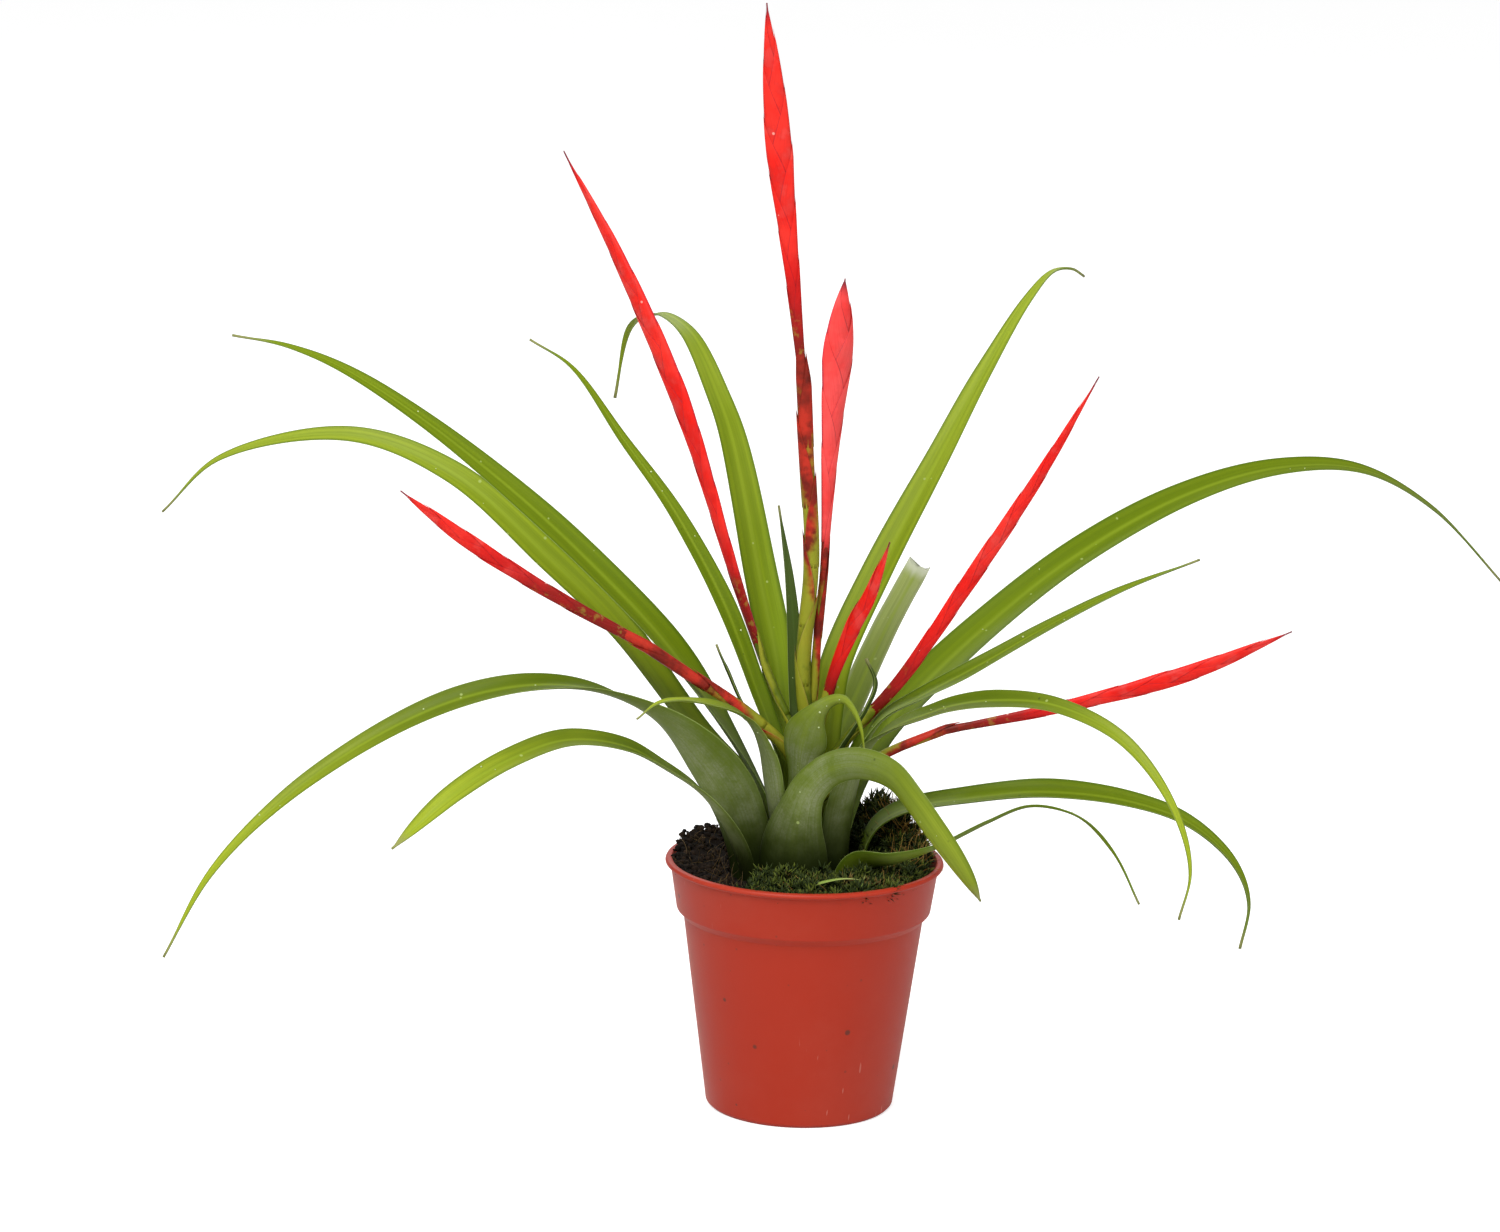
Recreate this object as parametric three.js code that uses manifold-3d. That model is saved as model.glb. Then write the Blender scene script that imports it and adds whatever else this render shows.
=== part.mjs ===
// Tillandsia flabellata in a thin plastic nursery pot: a rosette of channelled leaves,
// a fan of flat scarlet spikes on one branched scape, and moss on the soil.
// Millimetres, +Z up, origin at the centre of the pot's base, -Y towards the viewer.
import * as THREE from "three";
import { mergeVertices } from "three/addons/utils/BufferGeometryUtils.js";
import Module from "manifold-3d";

const wasm = await Module();
wasm.setup();

// Driving dimensions of the pot and its filling
const POT_HEIGHT = 82;
const LIP_RADIUS = 45;
const LIP_HEIGHT = 2;
const BAND_FOOT = 64.5;
const BAND_RADIUS = 41.1;
const BAND_FLARE = 2.2;
const WALL_TOP_RADIUS = 38.8;
const BASE_RADIUS = 30.4;
const WALL = 1;
const FLOOR = 1.6;
const FOOT_CORNER = 1.2;
const DRAIN_RADIUS = 3.2;
const DRAIN_CIRCLE = 19;
const DRAIN_COUNT = 4;
const DRAIN_SIDES = 8;
const POT_SIDES = 36;
const GAP = 0.35;
const SOIL_TOP = 77;
const HEAP_HEIGHT = 8;
const HEAP_TURN = 152;
const HEAP_SPAN = 38;
const HOLE_RADIUS = 25;
const HOLE_FLOOR = 62;

// Driving dimensions of the leaves
const LEAF_THICK = 0.8;
const LEAF_STEPS = 16;
const LEAF_ACROSS = 4;
const LEAF_TIP_WIDTH = 1.5;
const SHEATH_REACH = 0.24;
const BELLY_AT = 0.2;
const BELLY_SPAN = 0.09;
const CUT_LOSS = 0.2;
const ROLL_REACH = 0.45;

// Driving dimensions of the spikes and their scape
const CORE_RADIUS = 2.6;
const CORE_OVERLAP = 2;
const STALK_SIDES = 6;
const AXIS_SIDES = 4;
const AXIS_SHARE = 0.14;
const HEAD_FRAMES = 72;
const HEAD_SWELL = 1.7;
const HEAD_TIP_WIDTH = 1.6;
const BRACT_STEPS = 3;
const BRACT_SIDES = 4;
const BRACT_THICK = 3.2;
const BRACT_THINNING = 0.4;
const BRACT_BREADTH = 0.4;
const BRACT_SEAT = 0.08;
const BRACT_FLARE = 0.3;
const BRACT_FOOT_SHARE = 0.5;
const BRACT_TIP_SHARE = 0.03;
const BRACT_LENGTH = 27;
const BRACT_SHRINK = 0.2;
const BRACT_SPACING = 9.5;

// Driving dimensions of the moss: a pad round the front and right of the plant, with a mound
const MOSS_THICK = 2.2;
const MOSS_INSIDE = 26;
const MOSS_OUTSIDE = 39.3;
const MOSS_FROM = -122;
const MOSS_TO = 78;
const MOSS_BUMP = 0.5;
const MOUND_HEIGHT = 15;
const MOUND_TURN = 34;
const MOUND_SPAN = 34;
const PAD_STEPS = 24;
const SHOOT_RADIUS = 1.5;
const SHOOT_HEIGHT = 4.6;
const SHOOT_SUNK = 2.2;
const SHOOT_SPACING = 5;

const COLOURS = {
  pot: 0xb4402a,
  soil: 0x2c211a,
  leaf: 0x7f9138,
  bract: 0xb3152a,
  scape: 0x7a4a38,
  moss: 0x4c5a1f,
};

// Each leaf: turn is its direction in degrees from +X towards +Y, and line runs from its foot
// to its tip as [out from the axis, up, turn where the leaf swings sideways]. sheath and blade
// are widths. channel is how far, in radians, each half of the blade folds up. lean and roll are
// how far, in degrees, its foot and its blade turn about its own line. full is how late it starts
// to taper, and belly how much wider it is where it leaves the bundle, or at another share of its
// length.
const LEAVES = {
  leaf_left_straight: {
    turn: 186, sheath: 15, blade: 16, channel: 0.55, roll: 45, full: 2, belly: 5, bellyAt: 0.3,
    line: [
      [9.4, 62.3], [9.5, 82], [11.6, 95], [16.5, 107], [26, 124], [47, 154.5], [91, 199], [143, 238.5],
      [167, 249.5], [185, 253],
    ],
  },
  leaf_left_arched: {
    turn: 166, sheath: 13, blade: 15.5, channel: 0.6, roll: 50, full: 1.7, belly: 3,
    line: [
      [10.9, 62.3], [11, 80], [13, 92], [17, 101], [23, 108], [36, 120], [63, 153], [87, 174.5],
      [120.5, 200.5], [156, 210.5], [200, 199.5], [220, 180],
    ],
  },
  leaf_left_drooping: {
    turn: 207, sheath: 15.5, blade: 13, channel: 0.7, lean: -42, roll: 56, full: 2.1, belly: 7,
    line: [
      [18.6, 62.3, 207], [18.8, 75, 207], [20.8, 88, 206], [25.4, 102, 204], [33, 114.5, 200],
      [47, 129.3, 196], [68, 139.8, 193], [90, 142.6, 193], [112, 139.2, 193], [135, 130, 193],
      [168, 109, 193], [193, 84, 193], [208, 57, 193],
    ],
  },
  leaf_left_low: {
    turn: 219, sheath: 11.5, blade: 8.6, channel: 0.7, lean: 8, roll: 30, full: 14, belly: 4,
    line: [
      [22.5, 62.3], [22.7, 75], [26.6, 87], [33.5, 99], [42.5, 109.7], [56, 119.5], [72, 129],
      [96, 135], [118, 131.8], [140, 123.5], [163, 109.5],
    ],
  },
  leaf_left_inner: {
    turn: 166, sheath: 11, blade: 11, channel: 0.6, roll: 35, full: 2,
    line: [
      [6.8, 62.3], [6.9, 100], [8.6, 114], [13, 126], [17, 136], [28, 163], [44.5, 191.5],
      [62.5, 214.5], [81, 238], [95, 246],
    ],
  },
  leaf_back_left: {
    turn: 117, sheath: 9.4, blade: 16.3, channel: 0.5, roll: 0, full: 2.3,
    line: [
      [8.1, 62.3], [8.2, 99], [10.2, 111], [17, 123], [23, 141], [37, 168], [59, 209], [71.5, 222],
      [92, 237], [111, 241], [124, 239], [140, 231], [150, 206],
    ],
  },
  leaf_back_inner: {
    turn: 108, sheath: 5, blade: 8, channel: 0.5, roll: 0, full: 2.5,
    line: [
      [5.2, 62.3], [5.4, 108], [8, 122], [13, 138], [17, 153], [23, 170], [29, 180], [36, 191],
    ],
  },
  leaf_left_bud: {
    turn: 186, sheath: 3, blade: 5, channel: 0.5, roll: 0, full: 2,
    line: [[8.05, 62.3], [8.2, 96], [10.4, 109], [15, 121], [20, 131], [26, 144], [30, 153]],
  },
  leaf_left_curl: {
    turn: 229.5, sheath: 5.6, blade: 10.6, channel: 0.6, roll: 20, full: 2, belly: 3.6, bellyAt: 0.44,
    line: [
      [11.4, 62.3, 231], [11.7, 83, 231], [14.3, 95, 231.5], [17.8, 107, 232.5], [22, 121, 233.5],
      [31, 134, 232], [52, 143, 229.5], [72, 146, 229.5], [82, 142.5, 229.5],
    ],
  },
  leaf_front: {
    turn: 257, sheath: 25, blade: 11, channel: 0.6, roll: 25, full: 14, belly: 5,
    line: [
      [18.9, 62.3, 257], [19.1, 81, 257], [20.2, 91, 258], [21.3, 100, 262], [23, 110, 270],
      [27, 117, 281], [34, 121.5, 290], [44, 123.5, 296], [54, 122, 300], [64, 115.5, 302],
      [72, 105, 306], [77, 95, 310], [80, 85, 314],
    ],
  },
  leaf_front_inner: {
    turn: 240, sheath: 13.5, blade: 9, channel: 0.6, roll: 0, full: 2, belly: 10, bellyAt: 0.59,
    line: [
      [7.9, 62.3, 248], [8, 95, 248], [8.8, 108, 252], [11, 122, 262], [15, 132.5, 276],
      [19, 138.5, 290], [23, 140, 299], [26.5, 137, 303], [29.5, 131, 305.5], [31.2, 122, 306.5],
    ],
  },
  leaf_right_upper: {
    turn: 52, sheath: 9.6, blade: 15.5, channel: 0.6, roll: -10, full: 2,
    line: [
      [10.2, 62.3], [10.4, 98], [11.2, 118], [12.6, 133], [15, 144], [34.5, 170.5], [68, 207],
      [90, 230.5], [113, 251.5], [126, 259], [137, 258.5], [144, 255],
    ],
  },
  leaf_right_cut: {
    turn: 66, sheath: 9, blade: 12, channel: 0.6, roll: 0, full: 2, cut: true,
    line: [[11.5, 62.3], [11.7, 88], [15, 104], [24, 116], [36, 127], [58, 144], [88, 162]],
  },
  leaf_right_arched: {
    turn: 36, sheath: 15, blade: 17.5, channel: 0.6, roll: -35, full: 1.5, belly: 4,
    line: [
      [12.9, 62.3], [13.2, 84], [18, 101], [24, 112], [32, 122], [44.5, 132.5], [70, 150],
      [106.5, 170], [150, 185.5], [194, 191.5], [230, 187], [263, 170], [296, 140.5],
    ],
  },
  leaf_right_thin: {
    turn: 17, sheath: 3, blade: 10.5, channel: 0.7, roll: -93, full: 2,
    line: [
      [8.2, 62.3, 312], [8.8, 85, 312], [11.4, 98, 314], [13.7, 109, 326], [17.5, 118.5, 343],
      [24, 129.5, 358], [36, 135.5, 8], [50.5, 141, 15], [77.5, 154, 17], [103.5, 166, 17],
      [132, 175.5, 17],
    ],
  },
  leaf_right_front: {
    turn: 324, sheath: 15, blade: 14, channel: 0.6, roll: -40, full: 1.2, belly: 5,
    line: [
      [14, 62.3], [14.1, 84], [15.6, 100], [19.5, 114], [26.5, 125.5], [36, 132.5], [46, 137.5],
      [56, 142], [72, 146.5], [95, 148.5], [118.5, 143], [133, 132.5], [143.5, 118],
      [147.5, 103], [144, 88],
    ],
  },
  leaf_right_curl: {
    turn: 338.5, sheath: 2.4, blade: 3.4, channel: 0.4, roll: 0, full: 2,
    line: [
      [9.6, 62.3], [9.6, 112], [11, 119], [15.5, 126.5], [20, 134.5], [22.8, 143], [19.5, 150.5],
    ],
  },
  leaf_right_low: {
    turn: 6, sheath: 10, blade: 12.5, channel: 0.9, roll: -30, full: 2.5, belly: 3,
    line: [
      [17.6, 62.3], [18, 78], [22.5, 91.5], [31, 97.5], [53, 102], [79, 104.5], [103, 101.5],
      [124, 94.5], [140, 80.5], [146, 66], [143.5, 51],
    ],
  },
  leaf_right_wiry: {
    turn: 312, sheath: 9, blade: 5.5, channel: 0.5, lean: 25, roll: 0, full: 2, belly: 5,
    line: [
      [18.8, 62.5, 312], [19.3, 77, 314], [25.5, 85.5, 317], [36, 88, 322], [46.5, 92, 335],
      [60.5, 100, 344], [74, 106, 346], [88, 103, 349], [99.5, 91, 352], [109, 74, 351],
    ],
  },
};

// Each spike: route takes its stalk from the core of the scape to the foot of the red head, and
// line takes the head on from there to its tip, both written as a leaf's line is. stalk is the
// stalk's radius. width is the head's widest breadth, which it has at the share peak of its
// length, and foot is the share of that breadth which it has where it starts.
const SPIKES = {
  tall: {
    turn: 175, width: 8.7, stalk: 2.3, foot: 0.4, peak: 0.6,
    route: [[0, 120], [2, 150], [0, 178], [2, 209], [4, 237]],
    line: [[8.6, 275], [13.6, 314], [18.4, 359]],
  },
  left_long: {
    turn: 143, width: 7.8, stalk: 1.6, foot: 0.5, peak: 0.5,
    route: [[1, 112], [6, 124], [13, 135], [18, 143]],
    line: [[31, 171], [53.3, 222.5], [80.5, 267.5], [105, 301]],
  },
  right_short: {
    turn: 40, width: 12.4, stalk: 1.2, foot: 0.3, peak: 0.72,
    route: [[0.6, 112], [1.6, 132], [3.2, 152], [5, 176]],
    line: [[6.8, 220], [8.7, 246], [11, 271]],
  },
  left_low: {
    turn: 200, width: 5.2, stalk: 1.8, foot: 0.75, peak: 0.65,
    route: [[1, 108], [8, 120], [20, 131], [40, 145], [54, 155]],
    line: [[88, 175], [115, 193], [137, 210]],
  },
  right_stub: {
    turn: 325, width: 5.9, stalk: 1.6, foot: 0.75, peak: 0.5,
    route: [[1, 114], [3, 122], [5, 130]],
    line: [[10, 146], [17, 162], [23, 173], [30, 191]],
  },
  right_slim: {
    turn: 2, width: 5.4, stalk: 1.6, foot: 0.8, peak: 0.45,
    route: [[1, 106], [8, 116], [15, 125]],
    line: [[29.5, 142], [51.7, 176.5], [72.6, 210.5], [90, 242]],
  },
  right_low: {
    turn: 358, width: 5.8, stalk: 1.4, foot: 0.55, peak: 0.6,
    route: [[1, 98], [10, 107], [25, 117.5], [44, 126]],
    line: [[83, 135.5], [122, 147.8], [154, 162.3]],
  },
};

const part = new THREE.Group();
part.name = "tillandsia_flabellata";

function material(name) {
  return new THREE.MeshStandardMaterial({ color: COLOURS[name], roughness: 0.6, metalness: 0 });
}

function place(name, geometry, colour) {
  const mesh = new THREE.Mesh(geometry, material(colour));
  mesh.name = name;
  part.add(mesh);
}

function degrees(value) {
  return THREE.MathUtils.degToRad(value);
}

function smooth(value) {
  return THREE.MathUtils.smoothstep(value, 0, 1);
}

// Joins and cuts need shared vertices, so only positions are kept
function solid(geometry) {
  const bare = geometry.clone();
  bare.deleteAttribute("normal");
  bare.deleteAttribute("uv");
  const merged = mergeVertices(bare);
  return new wasm.Manifold(new wasm.Mesh({
    numProp: 3,
    vertProperties: new Float32Array(merged.attributes.position.array),
    triVerts: new Uint32Array(merged.index.array),
  }));
}

function geometryOf(manifold) {
  const mesh = manifold.getMesh();
  const geometry = new THREE.BufferGeometry();
  geometry.setAttribute("position", new THREE.BufferAttribute(new Float32Array(mesh.vertProperties), 3));
  geometry.setIndex(new THREE.BufferAttribute(new Uint32Array(mesh.triVerts), 1));
  geometry.computeVertexNormals();
  return geometry;
}

function union(geometries) {
  return geometryOf(geometries.map(solid).reduce((whole, piece) => whole.add(piece)));
}

// A turned shape about Z from a profile of [radius, height]
function turned(profile, sides) {
  const outline = profile.map(([radius, height]) => new THREE.Vector2(radius, height));
  return new THREE.LatheGeometry(outline, sides).rotateX(Math.PI / 2);
}

function makePot() {
  const lipFoot = POT_HEIGHT - LIP_HEIGHT;
  const bandTop = BAND_RADIUS + BAND_FLARE;
  const profile = [
    [0, 0],
    [BASE_RADIUS - FOOT_CORNER, 0],
    [BASE_RADIUS, FOOT_CORNER],
    [WALL_TOP_RADIUS, BAND_FOOT - FOOT_CORNER],
    [BAND_RADIUS, BAND_FOOT + FOOT_CORNER],
    [bandTop, lipFoot],
    [LIP_RADIUS, lipFoot + LIP_HEIGHT / 3],
    [LIP_RADIUS, POT_HEIGHT - LIP_HEIGHT / 3],
    [LIP_RADIUS - WALL / 2, POT_HEIGHT],
    [bandTop - WALL / 2, POT_HEIGHT],
    [BAND_RADIUS - WALL, BAND_FOOT + 2 * FOOT_CORNER],
    [WALL_TOP_RADIUS - WALL, BAND_FOOT],
    [BASE_RADIUS - WALL, FLOOR],
    [0, FLOOR],
  ];
  let pot = solid(turned(profile, POT_SIDES));
  for (let hole = 0; hole < DRAIN_COUNT; hole += 1) {
    const angle = ((hole + 0.5) * 2 * Math.PI) / DRAIN_COUNT;
    const drain = new THREE.CylinderGeometry(DRAIN_RADIUS, DRAIN_RADIUS, 4 * FLOOR, DRAIN_SIDES);
    drain.rotateX(Math.PI / 2);
    drain.translate(DRAIN_CIRCLE * Math.cos(angle), DRAIN_CIRCLE * Math.sin(angle), 0);
    pot = pot.subtract(solid(drain));
  }
  place("pot", geometryOf(pot), "pot");
}

// How high the soil stands at a distance and direction from the axis: it is heaped at one side
function groundHeight(out, turn) {
  const share = Math.max(0, out - HOLE_RADIUS) / (BAND_RADIUS - HOLE_RADIUS);
  return SOIL_TOP + HEAP_HEIGHT * share * Math.exp(-(((turn - HEAP_TURN) / HEAP_SPAN) ** 2));
}

// The soil keeps a gap to the wall and has one plain round hole for the plant's feet
function makeSoil() {
  const bandInside = BAND_RADIUS - WALL - GAP;
  const profile = [
    [0, FLOOR + GAP],
    [BASE_RADIUS - WALL - GAP, FLOOR + GAP],
    [WALL_TOP_RADIUS - WALL - GAP, BAND_FOOT],
    [bandInside, BAND_FOOT + 2 * FOOT_CORNER],
    [bandInside + WALL, SOIL_TOP],
    [(bandInside + WALL + HOLE_RADIUS) / 2, SOIL_TOP],
    [HOLE_RADIUS, SOIL_TOP],
    [HOLE_RADIUS, HOLE_FLOOR],
    [0, HOLE_FLOOR],
  ];
  const soil = turned(profile, POT_SIDES);
  const position = soil.attributes.position;
  for (let index = 0; index < position.count; index += 1) {
    if (position.getZ(index) > SOIL_TOP - GAP) {
      const [x, y] = [position.getX(index), position.getY(index)];
      const turn = (THREE.MathUtils.radToDeg(Math.atan2(y, x)) + 360) % 360;
      position.setZ(index, groundHeight(Math.hypot(x, y), turn));
    }
  }
  place("soil", soil, "soil");
}

// The points of a line that keeps to one direction except where it gives its own
function pointsOf(line, usualTurn) {
  return line.map(([out, up, turn = usualTurn]) => {
    const angle = degrees(turn);
    return new THREE.Vector3(out * Math.cos(angle), out * Math.sin(angle), up);
  });
}

// A leaf's spine, and the frames carried along it without twist
function spineOf(leaf) {
  return new THREE.CatmullRomCurve3(pointsOf(leaf.line, leaf.turn), false, "centripetal");
}

function framesAlong(curve, turn, steps) {
  const angle = degrees(turn);
  const side = new THREE.Vector3(-Math.sin(angle), Math.cos(angle), 0);
  const frames = [];
  for (let step = 0; step <= steps; step += 1) {
    const along = step / steps;
    const centre = curve.getPointAt(along);
    const ahead = curve.getTangentAt(along);
    side.addScaledVector(ahead, -side.dot(ahead)).normalize();
    const inner = new THREE.Vector3().crossVectors(ahead, side);
    frames.push({ along, centre, ahead, side: side.clone(), inner });
  }
  return frames;
}

// A box split along and across is wrapped round the axis at its foot and opens into a channel
function leafGeometry(leaf) {
  const frames = framesAlong(spineOf(leaf), leaf.line[0][2] ?? leaf.turn, LEAF_STEPS);
  const box = new THREE.BoxGeometry(1, 1, 1, LEAF_ACROSS, 1, LEAF_STEPS);
  const position = box.attributes.position;
  const point = new THREE.Vector3();
  for (let index = 0; index < position.count; index += 1) {
    const across = 2 * position.getX(index);
    const depth = position.getY(index) * LEAF_THICK;
    const along = position.getZ(index) + 0.5;
    const frame = frames[Math.round(along * LEAF_STEPS)];
    const tip = leaf.cut ? 1 - CUT_LOSS * along : 1 - along ** leaf.full;
    const sheath = (leaf.sheath - leaf.blade) * Math.exp(-((along / SHEATH_REACH) ** 2));
    const fromBelly = (along - (leaf.bellyAt ?? BELLY_AT)) / BELLY_SPAN;
    const belly = (leaf.belly ?? 0) * Math.exp(-(fromBelly ** 2));
    const width = Math.max(LEAF_TIP_WIDTH, leaf.blade * tip + sheath + belly);
    const out = Math.hypot(frame.centre.x, frame.centre.y);
    const fold = THREE.MathUtils.lerp(width / 2 / out, leaf.channel, smooth(along / (2 * SHEATH_REACH)));
    const radius = width / 2 / fold;
    const angle = across * fold;
    const sideways = (radius - depth) * Math.sin(angle);
    const free = smooth((along - SHEATH_REACH / 2) / ROLL_REACH);
    const sunk = (free * radius * (1 - Math.cos(fold))) / 2;
    const inwards = radius - (radius - depth) * Math.cos(angle) - sunk;
    const roll = degrees(THREE.MathUtils.lerp(leaf.lean ?? 0, leaf.roll, free));
    point.copy(frame.centre);
    point.addScaledVector(frame.side, sideways * Math.cos(roll) + inwards * Math.sin(roll));
    point.addScaledVector(frame.inner, inwards * Math.cos(roll) - sideways * Math.sin(roll));
    position.setXYZ(index, point.x, point.y, point.z);
  }
  return box;
}

function makeLeaves() {
  for (const [name, leaf] of Object.entries(LEAVES)) {
    place(name, leafGeometry(leaf), "leaf");
  }
}


function stalkCurve(spike) {
  return new THREE.CatmullRomCurve3(pointsOf(spike.route, spike.turn), false, "centripetal");
}

// The head starts a gap past the stalk's end and in line with it
function headCurve(spike) {
  const stalk = stalkCurve(spike);
  const start = stalk.getPoint(1).addScaledVector(stalk.getTangent(1), GAP);
  const points = [start, ...pointsOf(spike.line, spike.turn)];
  return new THREE.CatmullRomCurve3(points, false, "centripetal");
}

// A closed skin along part of a walk of frames. section gives, for a share of its length and a
// point of the unit ring, how far that point lies inwards and to the side.
function swept(frames, from, to, sides, steps, section) {
  const skin = new THREE.CylinderGeometry(1, 1, 1, sides, steps);
  const position = skin.attributes.position;
  const point = new THREE.Vector3();
  for (let index = 0; index < position.count; index += 1) {
    const along = position.getY(index) + 0.5;
    const rise = THREE.MathUtils.lerp(from, to, along);
    const frame = frames[Math.round(rise * (frames.length - 1))];
    const [inwards, sideways] = section(along, rise, position.getX(index), position.getZ(index));
    point.copy(frame.centre).addScaledVector(frame.inner, inwards).addScaledVector(frame.side, sideways);
    position.setXYZ(index, point.x, point.y, point.z);
  }
  return skin;
}

function stalkGeometry(spike) {
  const steps = 2 * spike.route.length;
  const frames = framesAlong(stalkCurve(spike), spike.turn, steps);
  return swept(frames, 0, 1, STALK_SIDES, steps, (along, rise, x, z) => [x * spike.stalk, z * spike.stalk]);
}

// The scape: one core in the middle of the rosette, with a stalk to each spike
function makeScape() {
  const coreTop = SPIKES.tall.route[0][1] + CORE_OVERLAP;
  const coreHeight = coreTop - HOLE_FLOOR - GAP;
  const core = new THREE.CylinderGeometry(CORE_RADIUS, CORE_RADIUS, coreHeight, STALK_SIDES, 1);
  core.rotateX(Math.PI / 2).translate(0, 0, HOLE_FLOOR + GAP + coreHeight / 2);
  place("scape", union([core, ...Object.values(SPIKES).map(stalkGeometry)]), "scape");
}

// The breadth of a red head at a share of its length
function headWidth(spike, rise) {
  const swell = spike.foot + (1 - spike.foot) * Math.min(1, rise / spike.peak) ** HEAD_SWELL;
  const beyond = Math.max(0, rise - spike.peak) / (1 - spike.peak);
  return Math.max(HEAD_TIP_WIDTH, spike.width * swell * (1 - beyond ** 2));
}

// One bract: a keeled blade that hugs the spike's axis and ends in a point on its side
function bractGeometry(spike, frames, foot, top, side) {
  return swept(frames, foot, top, BRACT_SIDES, BRACT_STEPS, (along, rise, x, z) => {
    const width = headWidth(spike, rise);
    const full = (1 - along) * (BRACT_FOOT_SHARE + 2 * along);
    const swell = Math.sqrt(Math.max(BRACT_TIP_SHARE, full));
    const lift = side * width * (BRACT_SEAT + BRACT_FLARE * along ** HEAD_SWELL);
    const thick = (BRACT_THICK / 2) * swell * (1 - BRACT_THINNING * along);
    return [lift + x * width * BRACT_BREADTH * swell, z * thick];
  });
}

// A red head: bracts by turns on its two sides of a slim axis, shorter towards its tip
function makeSpikes() {
  for (const [name, spike] of Object.entries(SPIKES)) {
    const curve = headCurve(spike);
    const length = curve.getLength();
    const count = Math.round((length - BRACT_LENGTH) / BRACT_SPACING) + 1;
    const lastFoot = 1 - (BRACT_LENGTH * (1 - BRACT_SHRINK)) / length;
    const frames = framesAlong(curve, spike.turn, HEAD_FRAMES);
    const axis = swept(frames, 0, 1, AXIS_SIDES, count, (along, rise, x, z) => {
      const radius = Math.max(LEAF_THICK / 2, headWidth(spike, rise) * AXIS_SHARE);
      return [x * radius, z * radius];
    });
    const pieces = [axis];
    for (let turn = 0; turn < count; turn += 1) {
      const foot = (lastFoot * turn) / (count - 1);
      const reach = (BRACT_LENGTH * (1 - BRACT_SHRINK * foot)) / length;
      pieces.push(bractGeometry(spike, frames, foot, Math.min(1, foot + reach), turn % 2 === 0 ? 1 : -1));
    }
    place(`spike_${name}`, union(pieces), "bract");
  }
}

// How high the moss stands over the soil at a distance and direction from the axis
function mossHeight(out, turn) {
  const middle = (MOSS_INSIDE + MOSS_OUTSIDE) / 2;
  const across = (out - middle) / (MOSS_OUTSIDE - MOSS_INSIDE);
  const mound = Math.exp(-(((turn - MOUND_TURN) / MOUND_SPAN) ** 2)) * Math.cos(2 * across) ** 2;
  const bumps = MOSS_BUMP * Math.sin(out) * Math.sin(turn / 5);
  return MOSS_THICK + MOUND_HEIGHT * mound + bumps;
}

function mossPad() {
  const pad = new THREE.BoxGeometry(1, 1, 1, 4, 1, PAD_STEPS);
  const position = pad.attributes.position;
  for (let index = 0; index < position.count; index += 1) {
    const out = THREE.MathUtils.lerp(MOSS_OUTSIDE, MOSS_INSIDE, position.getX(index) + 0.5);
    const turn = THREE.MathUtils.lerp(MOSS_FROM, MOSS_TO, position.getZ(index) + 0.5);
    const angle = degrees(turn);
    const above = position.getY(index) > 0 ? mossHeight(out, turn) : 0;
    const up = groundHeight(out, turn) + GAP + above;
    position.setXYZ(index, out * Math.cos(angle), out * Math.sin(angle), up);
  }
  return pad;
}

// Moss shoots stand in rings on the pad, each a three-sided point with its foot sunk in
function makeMoss() {
  const pieces = [mossPad()];
  const firstRing = MOSS_INSIDE + SHOOT_RADIUS;
  for (let out = firstRing; out < MOSS_OUTSIDE - SHOOT_RADIUS; out += SHOOT_SPACING) {
    const stepTurn = THREE.MathUtils.radToDeg(SHOOT_SPACING / out);
    const offset = (out * 7) % stepTurn;
    for (let turn = MOSS_FROM + stepTurn / 2 + offset / 2; turn < MOSS_TO - stepTurn / 2; turn += stepTurn) {
      const angle = degrees(turn);
      const shoot = new THREE.ConeGeometry(SHOOT_RADIUS, SHOOT_HEIGHT, 3, 1).rotateX(Math.PI / 2);
      shoot.rotateZ(angle * 5);
      const sunk = Math.max(0, mossHeight(out, turn) - SHOOT_SUNK);
      const foot = groundHeight(out, turn) + 2 * GAP + sunk;
      shoot.translate(out * Math.cos(angle), out * Math.sin(angle), foot + SHOOT_HEIGHT / 2);
      pieces.push(shoot);
    }
  }
  place("moss", union(pieces), "moss");
}

makePot();
makeSoil();
makeLeaves();
makeScape();
makeSpikes();
makeMoss();

export default part;
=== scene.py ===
"""A potted tillandsia flabellata in flower, dressed round its CAD frame.

Sizes are in mm and turns in degrees, unless their names or notes say otherwise.
"""

import logging
import math
import random
from bisect import bisect_right
from dataclasses import dataclass, field, replace
from enum import Enum
from typing import Any, Callable

import bmesh
import bpy
from mathutils import Matrix, Vector, noise


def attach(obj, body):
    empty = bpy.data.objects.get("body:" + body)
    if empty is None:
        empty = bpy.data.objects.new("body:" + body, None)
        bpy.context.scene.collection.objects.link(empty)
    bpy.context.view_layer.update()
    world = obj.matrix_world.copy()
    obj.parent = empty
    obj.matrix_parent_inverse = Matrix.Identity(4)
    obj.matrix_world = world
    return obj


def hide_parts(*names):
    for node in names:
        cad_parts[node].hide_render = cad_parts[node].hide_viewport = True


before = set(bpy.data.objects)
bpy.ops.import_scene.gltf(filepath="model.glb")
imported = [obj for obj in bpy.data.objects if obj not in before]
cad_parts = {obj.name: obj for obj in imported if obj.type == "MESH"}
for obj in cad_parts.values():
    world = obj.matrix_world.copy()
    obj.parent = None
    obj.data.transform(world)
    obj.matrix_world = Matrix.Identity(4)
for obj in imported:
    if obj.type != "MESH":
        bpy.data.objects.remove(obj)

log = logging.getLogger("tillandsia")
MM = 0.001
WELD = 0.01
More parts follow.
